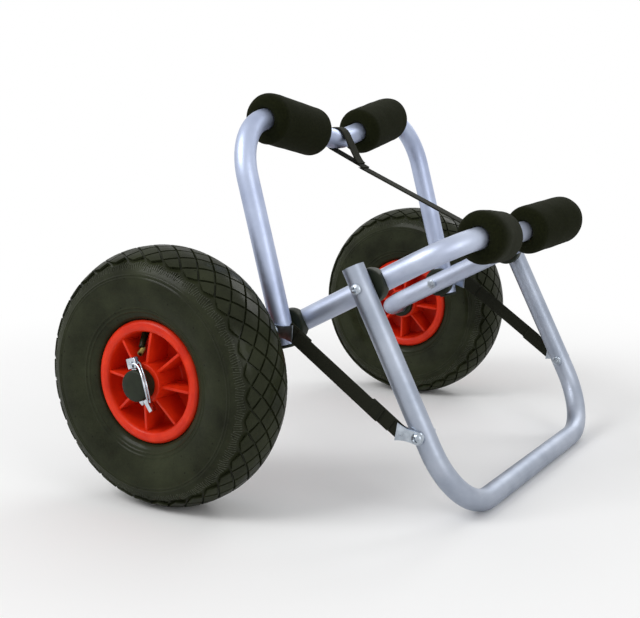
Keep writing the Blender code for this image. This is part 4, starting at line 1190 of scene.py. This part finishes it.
def top_seam(shell, knee):
    """Two rows of stitches under the strap."""
    face = knee + below * TOP_THICKNESS / 2
    for edge in (-TOP_SEAM_LONG, TOP_SEAM_LONG):
        middle = face + top_way * edge
        add_stitches(
            shell, middle - ACROSS * TOP_SEAM_WIDE, middle + ACROSS * TOP_SEAM_WIDE, below)


front_knee = front_bar + below * loop_radius + top_way * TOP_FRONT_KNEE
rear_knee = back_bar + below * loop_radius - top_way * TOP_REAR_KNEE
front_loop = strap_shell(
    bar_loop(front_bar, top_way, TOP_FRONT_KNEE), BENT_GAP, ACROSS, TOP_THICKNESS)
top_seam(front_loop, front_knee)
rear_loop = strap_shell(
    bar_loop(back_bar, -top_way, TOP_REAR_KNEE), BENT_GAP, ACROSS, TOP_THICKNESS)
top_web = strap_shell(
    [front_knee - one_layer, rear_knee + one_layer], STRAIGHT_GAP, ACROSS, TOP_THICKNESS)
top_seam(top_web, rear_knee + one_layer)
for shell, name, part in (
        (front_loop, "top_loop_front", "front"), (rear_loop, "top_loop_rear", "rear")):
    finish_piece(
        shell, name, webbing, "top_strap_" + part + "_end", ["top_strap_" + part], STRAP_CREASE)
finish_piece(top_web, "top_run", webbing, "top_strap_middle", ["top_strap_web"], STRAP_CREASE)
print("top strap, bar to bar", round((back_bar - front_bar).length * 1000), "mm")

# %% [markdown]
# The hardware is small, so each piece needs crisp edges and a true shape more than many faces.
# A cut such as the cross in a bolt's head or the fork in a bracket is made with an exact
# Boolean, which leaves clean corners.

# %% Cut one shape with another
def carve(shell, tool):
    holders = [add_object("carving", mesh_of(source, "carving")) for source in (shell, tool)]
    change = holders[0].modifiers.new("cut", "BOOLEAN")
    change.operation = "DIFFERENCE"
    change.solver = "EXACT"
    change.object = holders[1]
    bpy.context.view_layer.update()
    cut = holders[0].evaluated_get(bpy.context.evaluated_depsgraph_get())
    result = bmesh.new()
    result.from_mesh(cut.to_mesh())
    cut.to_mesh_clear()
    bmesh.ops.remove_doubles(result, verts=result.verts, dist=MERGE_WITHIN)
    for holder in holders:
        mesh = holder.data
        bpy.data.objects.remove(holder)
        bpy.data.meshes.remove(mesh)
    return result


def rod(centre, way, radius, length, sides=32):
    """Round bar, centred here, to cut a hole with."""
    shell = bmesh.new()
    bmesh.ops.create_cone(
        shell, cap_ends=True, segments=sides, radius1=radius, radius2=radius, depth=length,
        matrix=along(way, centre))
    return shell


def soft_block(size, centre, bevel, segments=2):
    """Block with rounded edges, centred here."""
    shell = bmesh.new()
    made = bmesh.ops.create_cube(
        shell, size=1.0, matrix=Matrix.Translation(centre) @ Matrix.Diagonal((*size, 1.0)))
    round_edges(shell, edges_of(made["verts"]), bevel, segments)
    return shell


# %% [markdown]
# The bolts are M6 with a domed head and a cross recess, and the nuts are hexagons with a round
# collar that locks the thread. The shank's thread shows only beyond the nut, so it is turned as
# rings and not as a true spiral.

# %% A bolt
BOLT_RADIUS, BOLT_STEPS = 0.0030, 40
HEAD_RADIUS, HEAD_HEIGHT, HEAD_RIM = 0.0056, 0.0035, 0.12
DOME, DOME_STEPS = math.radians(80.0), 8
CROSS_TURN, CROSS_WIDTH = 0.5, 0.0015
# Length of the recess and height on the bolt, at its top and at its bottom
CROSS_TOP, CROSS_BOTTOM = (0.0068, 0.0038), (0.0030, 0.0010)


def bolt_shell(length):
    """Bolt whose head starts at the origin and whose shank points down."""
    outline = [(0.0, HEAD_HEIGHT)]
    for step in range(1, DOME_STEPS + 1):
        angle = DOME * step / DOME_STEPS
        rise = (math.cos(angle) - math.cos(DOME)) / (1 - math.cos(DOME))
        outline.append((HEAD_RADIUS * math.sin(angle) / math.sin(DOME),
                        HEAD_HEIGHT * (HEAD_RIM + (1 - HEAD_RIM) * rise)))
    outline += [(HEAD_RADIUS, 0.0), (BOLT_RADIUS, 0.0), (BOLT_RADIUS, -length + 0.010)]
    outline += thread(BOLT_RADIUS, -length + 0.0095, -length + 0.0008)
    outline += [(BOLT_RADIUS - 0.0006, -length), (0.0, -length)]
    shell = turned(outline, BOLT_STEPS)
    for turn in (CROSS_TURN, CROSS_TURN + math.pi / 2):
        arm = bmesh.new()
        made = bmesh.ops.create_cube(arm, size=1.0)["verts"]
        for vert in made:
            long, height = CROSS_TOP if vert.co.z > 0 else CROSS_BOTTOM
            vert.co = Vector((vert.co.x * long, vert.co.y * CROSS_WIDTH, height))
        bmesh.ops.rotate(
            arm, verts=made, cent=(0, 0, 0), matrix=Matrix.Rotation(turn, 3, "Z"))
        shell = carve(shell, arm)
    return shell


# %% A locknut
NUT_RADIUS, NUT_HEIGHT, NUT_HOLE, NUT_CORNER = 0.0058, 0.0050, 0.0031, 0.0006
HEX_SHARE = 0.72
PRESSED_EDGE = 0.0004
SHORT_CUT = 0.02


def nut_shell():
    """Locknut: a hexagon with a hole, and its collar as a second closed shell below it."""
    shell = bmesh.new()
    made = bmesh.ops.create_cone(
        shell, cap_ends=True, segments=6, radius1=NUT_RADIUS, radius2=NUT_RADIUS,
        depth=NUT_HEIGHT * HEX_SHARE)["verts"]
    bmesh.ops.translate(shell, verts=made, vec=(0, 0, NUT_HEIGHT * (1 - HEX_SHARE) / 2))
    round_edges(shell, edges_of(made), PRESSED_EDGE)
    shell = carve(shell, rod(ORIGIN, UP, NUT_HOLE, SHORT_CUT))
    collar = softened(
        [(0.0032, 0.0), (0.0046, 0.0), (0.0044, -NUT_HEIGHT / 2), (0.0032, -NUT_HEIGHT / 2)],
        NUT_CORNER)
    merge_into(shell, turned(collar, BOLT_STEPS, closed=True))
    return shell


# %% Bolts and nuts in place
BOLT_PAST_NUT = 0.0020
leg_inner_face = LEG_HALF - TUBE_RADIUS - GAP
stand_inner_face = OUTER_HALF - TUBE_RADIUS - GAP
# Name, place, where the head sits, the face that the nut sits on, and the body
BOLTS = (
    ("back", back_pivot, bracket_outer + GAP, leg_inner_face, "cart_frame"),
    ("stand", stand_pivot, bracket_inner, leg_inner_face, "cart_frame"),
    ("strap", strap_anchor, bracket_outer + GAP, stand_inner_face, "kickstand"))
for side, sign in SIDES:
    for name, where, base, nut_face, body in BOLTS:
        tip = nut_face - NUT_HEIGHT - BOLT_PAST_NUT
        nut_middle = nut_face - NUT_HEIGHT / 2
        for shell, height, piece, solid in (
                (bolt_shell(base - tip), base, "_screw_", "_bolt_"),
                (nut_shell(), nut_middle, "_locknut_", "_nut_")):
            shell.transform(facing_out(sign, where + ACROSS * height * sign))
            finish_piece(shell, name + piece + side, zinc, body, [name + solid + side])

# %% [markdown]
# Each bracket is pressed from steel sheet and folded double over the webbing: round at the
# bolt, then flaring like a fishtail to a wide straight edge. It starts as one flat face with the
# fishtail's outline, which is extruded, softened and slit.

# %% Strap brackets
BOLT_HOLE = 0.0033
LOBE_RADIUS = 0.0064
# The lobe goes round the bolt from the upper side to the lower one, in degrees
LOBE_START, LOBE_STEP, LOBE_POINTS = 78, 12, 18
SLIT_START, SLIT_WIDE, SLIT_HEIGHT, SLIT_EDGE = 0.011, 0.05, 0.0020, 0.0002


def fishtail():
    upper = smooth_line(
        ((BRACKET_REACH, BRACKET_HALF), (BRACKET_REACH * 0.80, BRACKET_HALF * 0.84),
         (BRACKET_REACH * 0.55, BRACKET_HALF * 0.70), (BRACKET_REACH * 0.28, 0.0060)), 4)
    upper = [(point.x, point.y) for point in upper]
    ways = [heading(LOBE_START + LOBE_STEP * step) for step in range(LOBE_POINTS)]
    lobe = [(LOBE_RADIUS * way.x, LOBE_RADIUS * way.z) for way in ways]
    return [(x, -y) for x, y in reversed(upper)] + upper + lobe


def bracket_shell(place, turn):
    shell = bmesh.new()
    face = shell.faces.new(
        [shell.verts.new((x, y, -BRACKET_THICKNESS / 2)) for x, y in fishtail()])
    solid = bmesh.ops.extrude_face_region(shell, geom=[face])["geom"]
    bmesh.ops.translate(shell, verts=points_in(solid), vec=(0, 0, BRACKET_THICKNESS))
    bmesh.ops.recalc_face_normals(shell, faces=shell.faces)
    rims = [edge for edge in shell.edges
            if abs(edge.verts[0].co.z - edge.verts[1].co.z) < 1e-6]
    round_edges(shell, rims, PRESSED_EDGE)
    slit = soft_block(
        (BRACKET_REACH, SLIT_WIDE, SLIT_HEIGHT), (SLIT_START + BRACKET_REACH / 2, 0, 0),
        SLIT_EDGE)
    shell = carve(carve(shell, slit), rod(ORIGIN, UP, BOLT_HOLE, SHORT_CUT))
    shell.transform(axes_at(heading(turn), heading(turn + 90.0), -ACROSS, place))
    return shell


for side, sign in SIDES:
    for label, pivot, turn in (
            ("upper", back_pivot, UPPER_BRACKET_TURN), ("lower", strap_anchor, LOWER_BRACKET_TURN)):
        finish_piece(
            bracket_shell(pivot + ACROSS * fork_middle * sign, turn),
            "bracket_" + label + "_" + side, zinc, side + "_strap_" + label + "_end",
            ["strap_bracket_" + label + "_" + side])

# %% [markdown]
# Between the inner and outer legs sits a nylon spacer, a thick disc with a saddle on its
# inner face that fits round the leg. It is turned as a plain disc and the leg's own shape is
# then cut out of it. The collar and cap on the axle, the cap under each leg of the back frame and
# the plug in each leg of the kickstand are turned too.

# %% Outlines of the nylon pieces
SPACER_RADIUS = 0.0175
CAP_RADIUS, CAP_FACE = 0.0155, 0.0505
COLLAR = ((0.0114, -0.0366), (0.0170, -0.0366), (0.0170, -0.0431), (0.0114, -0.0431))
CAP = (
    (0.0, CAP_FACE), (0.0100, CAP_FACE - 0.0001), (CAP_RADIUS - 0.0010, CAP_FACE - 0.0008),
    (CAP_RADIUS, 0.0480), (CAP_RADIUS, 0.0366), (0.0114, 0.0366), (0.0114, 0.0488),
    (0.0, 0.0488))
FOOT_CAP = (
    (0.0, 0.0115), (0.0093, 0.0115), (0.0093, -GAP), (TUBE_RADIUS, -GAP),
    (TUBE_RADIUS, -0.0025), (TUBE_RADIUS - 0.0012, -0.0033), (0.0, -0.0033))
PLUG = ((0.0, -0.0009), (0.0070, -0.0009), (0.0093, -0.0005), (0.0093, -0.0120), (0.0, -0.0120))
spacer_top, spacer_foot = stand_inner_face, LEG_HALF + 0.004
SPACER = (
    (0.0, spacer_top), (SPACER_RADIUS - 0.0003, spacer_top),
    (SPACER_RADIUS, (spacer_top + spacer_foot) / 2), (SPACER_RADIUS, spacer_foot),
    (0.0, spacer_foot))
print("spacer", round((spacer_top - spacer_foot) * 1000, 1), "mm thick")

# %% Spacers, collars and caps
PIN_LEAN, PIN_OFFSET = 105.0, 0.0430
LONG_CUT, LEG_CUT, LEG_SIDES = 0.05, 0.08, 48
DISC_STEPS, TUBE_CAP_STEPS = 64, 48
THICK_CORNER, COLLAR_CORNER, THIN_CORNER = 0.0016, 0.0009, 0.0006
pin_way, pin_side = heading(PIN_LEAN), heading(PIN_LEAN - 90.0)


def nylon_piece(name, outline, corner, steps, place, body, solid, cuts=(), closed=False):
    shell = turned(softened(outline, corner), steps, place, closed)
    for cut in cuts:
        shell = carve(shell, cut)
    finish_piece(shell, name, nylon, body, [solid])


for side, sign in SIDES:
    for label, where in (("back", back_pivot), ("stand", stand_pivot)):
        leg = rod(
            where + ACROSS * LEG_HALF * sign, frame_way, TUBE_RADIUS + GAP, LEG_CUT, LEG_SIDES)
        hole = rod(where + ACROSS * spacer_top * sign, ACROSS, BOLT_HOLE, LONG_CUT)
        nylon_piece(
            label + "_saddle_" + side, SPACER, THICK_CORNER, DISC_STEPS, facing_out(sign, where),
            "cart_frame", label + "_spacer_" + side, (leg, hole))
    wheel = facing_out(sign, wheel_centre(sign))
    nylon_piece(
        "collar_" + side, COLLAR, COLLAR_CORNER, DISC_STEPS, wheel, "cart_frame",
        "axle_collar_" + side, closed=True)
    pin_hole = rod(wheel_centre(sign) + ACROSS * PIN_OFFSET * sign, pin_way, BOLT_HOLE, LONG_CUT)
    nylon_piece(
        "cap_" + side, CAP, THICK_CORNER, DISC_STEPS, wheel, "cart_frame", "axle_cap_" + side,
        (pin_hole,))
    nylon_piece(
        "foot_cap_" + side, FOOT_CAP, THIN_CORNER, TUBE_CAP_STEPS,
        along(back_way, back_low + ACROSS * OUTER_HALF * sign), "back_frame",
        "back_foot_cap_" + side)
    nylon_piece(
        "plug_" + side, PLUG, THIN_CORNER, TUBE_CAP_STEPS,
        along(-stand_way, stand_top + ACROSS * OUTER_HALF * sign), "kickstand",
        "stand_plug_" + side)

# %% [markdown]
# A pin drops through the axle's end to hold each wheel. Its head is a small steel fork, and a
# sprung wire bail swings from the fork's cheeks, round the cap and under the pin's tip. Both
# strands of the wire follow one curve, drawn through the points of its bow, and they close up
# towards the small clip that joins them below. The whole wire gets a round section in one go.

# %% Lock pins
PIN_SHANK = (
    (0.0, 0.0170), (0.0030, 0.0170), (0.0030, -0.0170), (0.0012, -0.0200), (0.0, -0.0200))
SHANK_CORNER, SHANK_STEPS = 0.0010, 32
# The head and the two cuts in it: size, middle, radius of the edges and steps round them
PIN_HEAD = ((0.0110, 0.0072, 0.0108), (0, 0, 0.0216), 0.0012, 3)
PIN_SLOT = ((0.0120, 0.0034, 0.0080), (0, 0, 0.0250), 0.0004, 2)
PIN_FOLD = ((0.0022, 0.0120, 0.0060), (0.0020, 0, 0.0205), 0.0003, 2)


def pin_centre(sign):
    """Middle of the lock pin on one side."""
    return wheel_centre(sign) + ACROSS * PIN_OFFSET * sign


for side, sign in SIDES:
    shell = carve(carve(soft_block(*PIN_HEAD), soft_block(*PIN_SLOT)), soft_block(*PIN_FOLD))
    merge_into(shell, turned(softened(PIN_SHANK, SHANK_CORNER), SHANK_STEPS))
    shell.transform(axes_at(pin_side, ACROSS, pin_way, pin_centre(sign)))
    finish_piece(shell, "pin_" + side, chrome, "cart_frame", ["lock_pin_" + side])

# %% A bent wire
def wire_shell(points, radius):
    data = bpy.data.curves.new("wire", "CURVE")
    data.dimensions = "3D"
    data.bevel_depth = radius
    data.bevel_resolution = 4
    data.use_fill_caps = True
    spline = data.splines.new("POLY")
    spline.points.add(len(points) - 1)
    for control, point in zip(spline.points, points):
        control.co = (point.x, point.y, point.z, 1.0)
    holder = add_object("wire", data)
    bpy.context.view_layer.update()
    seen = holder.evaluated_get(bpy.context.evaluated_depsgraph_get())
    shell = bmesh.new()
    shell.from_mesh(seen.to_mesh())
    seen.to_mesh_clear()
    bpy.data.objects.remove(holder)
    clean(shell)
    return shell


# %% Wire bails
BAIL_RADIUS, BAIL_STEPS = 0.0011, 5
# Height up the pin, distance in front of it, and outwards, of one strand
BAIL_BOW = (
    (0.0220, 0.0, 0.0), (0.0198, 0.0078, 0.0020), (0.0110, 0.0140, 0.0064),
    (0.0015, 0.0167, 0.0090), (-0.0080, 0.0162, 0.0084), (-0.0150, 0.0133, 0.0054),
    (-0.0202, 0.0101, 0.0024))
# Half the distance between the strands above and below, and of the wire's ends in the fork
BAIL_HALF, BAIL_NARROW, NARROW_STEPS = 0.0050, 0.0016, 8
PEG_HALVES = (0.0024, 0.0040)
CLIP_SIZE, CLIP_EDGE = (0.0046, 0.0078, 0.0130), 0.0008
# Like the bow's points: height, front and outwards
CLIP_PLACE = (-0.0206, 0.0108, 0.0024)
CLIP_UP, CLIP_BACK = 0.90, 0.34
for side, sign in SIDES:
    centre = pin_centre(sign)
    strand = [(BAIL_BOW[0][0], 0.0, 0.0, half) for half in PEG_HALVES]
    for number, (high, front, out) in enumerate(smooth_line(BAIL_BOW, BAIL_STEPS)):
        share = min(1.0, number / NARROW_STEPS)
        strand.append((high, front, out, BAIL_HALF + (BAIL_NARROW - BAIL_HALF) * share))
    points = [
        centre + pin_way * high + pin_side * front + ACROSS * (out * sign + half * way)
        for line, way in ((strand, 1), (strand[::-1], -1)) for high, front, out, half in line]
    shell = wire_shell(points, BAIL_RADIUS)
    clip = soft_block(CLIP_SIZE, ORIGIN, CLIP_EDGE)
    clip_way = (pin_way * CLIP_UP - pin_side * CLIP_BACK).normalized()
    high, front, out = CLIP_PLACE
    clip_place = centre + pin_way * high + pin_side * front + ACROSS * out * sign
    clip.transform(axes_at(ACROSS.cross(clip_way), ACROSS, clip_way, clip_place))
    merge_into(shell, clip)
    finish_piece(shell, "bail_" + side, chrome, side + "_bail", ["pin_bail_" + side])

# %% [markdown]
# The studio is a pale floor that runs into a white world. What the camera, a reflection or a
# clear thing sees is plain white, while the light that falls on the cart is set apart from it, so
# that the colours render as they are written. The floor itself fades to that white between
# thirty centimetres and just over a metre from its middle, and keeps the cart's shadow. One large
# soft lamp stands high at the left of the view, a weaker one at the right and a long one behind.

# %% What counts as looked at
WHITE = (1.0, 1.0, 1.0, 1.0)
LOOKED_AT = (
    ("camera", "LightPath", {}, {}, "Is Camera Ray"),
    ("glossy", "LightPath", {}, {}, "Is Glossy Ray"),
    ("through", "LightPath", {}, {}, "Is Transmission Ray"),
    ("either", "Math", {"operation": "MAXIMUM"}, {0: "camera", 1: "glossy"}, "Value"),
    ("looked at", "Math", {"operation": "MAXIMUM"}, {0: "either", 1: "through"}, "Value"))

# %% Floor
FLOOR_HALF = 12.0
FLOOR_FADE = (
    ("away", "VectorMath", {"operation": "LENGTH"}, {0: "place"}, "Value"),
    ("far", "MapRange", {"interpolation_type": "SMOOTHSTEP"},
     {"Value": "away", "From Min": 0.30, "From Max": 1.1}, "Result"),
    ("white part", "Math", {"operation": "MULTIPLY"}, {0: "far", 1: "looked at"}, "Value"),
    ("white", "Emission", {}, {"Color": WHITE, "Strength": 1.0}, "Emission"))

pale_floor = make_material(
    "pale_floor", {"Base Color": linear("f4f4f4"), "Roughness": 0.9, "Specular IOR Level": 0.1},
    {"grain": (3.0, 2.0, 0.5)}, bumps=(("grain", 0.05, 0.1),))
tree = pale_floor.node_tree
fields = {"shaded": tree.nodes["Principled BSDF"].outputs["BSDF"]}
add_rows(tree, fields, (
    ("place", "TexCoord", {}, {}, "Object"), *LOOKED_AT, *FLOOR_FADE,
    ("both", "MixShader", {}, {0: "white part", 1: "shaded", 2: "white"}, "Shader")))
tree.links.new(fields["both"], tree.nodes["Material Output"].inputs["Surface"])

floor_shell = bmesh.new()
bmesh.ops.create_grid(floor_shell, x_segments=8, y_segments=8, size=FLOOR_HALF)
floor = add_object("studio_floor", mesh_of(floor_shell, "studio_floor"))
floor.data.materials.append(pale_floor)
floor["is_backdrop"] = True

# %% World
WORLD_LIGHT = 0.55
world = bpy.data.worlds.new("studio_world")
bpy.context.scene.world = world
world.use_nodes = True
tree = world.node_tree
tree.nodes.clear()
fields = {}
add_rows(tree, fields, (
    *LOOKED_AT,
    ("white", "Background", {}, {"Color": WHITE, "Strength": 1.0}, "Background"),
    ("dim", "Background", {}, {"Color": WHITE, "Strength": WORLD_LIGHT}, "Background"),
    ("both", "MixShader", {}, {0: "looked at", 1: "dim", 2: "white"}, "Shader")))
add_node(tree, "OutputWorld", {}, {"Surface": fields["both"]})

# %% Lamps
# Name, place, the point that it is turned to, size in metres and power in watts
LAMPS = (
    ("key", (-0.9, -1.6, 1.7), (0.0, 0.0, 0.18), (1.1, 1.1), 26.0),
    ("fill", (1.9, -0.9, 0.9), (0.05, 0.0, 0.2), (0.9, 1.2), 9.0),
    ("back", (0.2, 1.7, 1.5), (0.0, 0.0, 0.2), (1.6, 0.5), 12.0))
for name, place, target, size, power in LAMPS:
    light = bpy.data.lights.new(name, "AREA")
    light.shape = "RECTANGLE"
    light.size, light.size_y = size
    light.energy = power
    way = Vector(place) - Vector(target)
    add_object(name, light).matrix_world = along(way.normalized(), Vector(place))
print("lamps", len(bpy.data.lights))

# %% [markdown]
# The camera stands where the photographer's did. Its place was worked out from the wheels'
# outlines and the joints of the frames: 31 degrees round from the side, looking about ten
# degrees down, from 1.3 metres away.

# %% Camera
CAMERA_AT = Vector((0.6663 + axle.x, -1.0822, 0.3743))
AZIMUTH, ELEVATION, ROLL = math.radians(31.2), math.radians(9.7), math.radians(-0.1)
SENSOR_MM = 36.0
LENS_PIXELS, PHOTO_PIXELS = 1074.8, 640
lens = bpy.data.cameras.new("camera")
lens.sensor_width = SENSOR_MM
lens.lens = LENS_PIXELS / PHOTO_PIXELS * SENSOR_MM
lens.clip_start, lens.clip_end = 0.05, 60.0
back = Vector((math.sin(AZIMUTH) * math.cos(ELEVATION),
               -math.cos(AZIMUTH) * math.cos(ELEVATION), math.sin(ELEVATION)))
right = Vector((math.cos(AZIMUTH), math.sin(AZIMUTH), 0.0))
stance = axes_at(right, back.cross(right), back, ORIGIN) @ Matrix.Rotation(ROLL, 4, "Z")
stance.translation = CAMERA_AT
camera = add_object("camera", lens)
camera.matrix_world = stance
bpy.context.scene.camera = camera
bpy.context.scene.view_settings.view_transform = "Standard"
print("lens", round(lens.lens, 1), "mm")

# %% Sizes and finish
low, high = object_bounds()
print("visual", low, high)
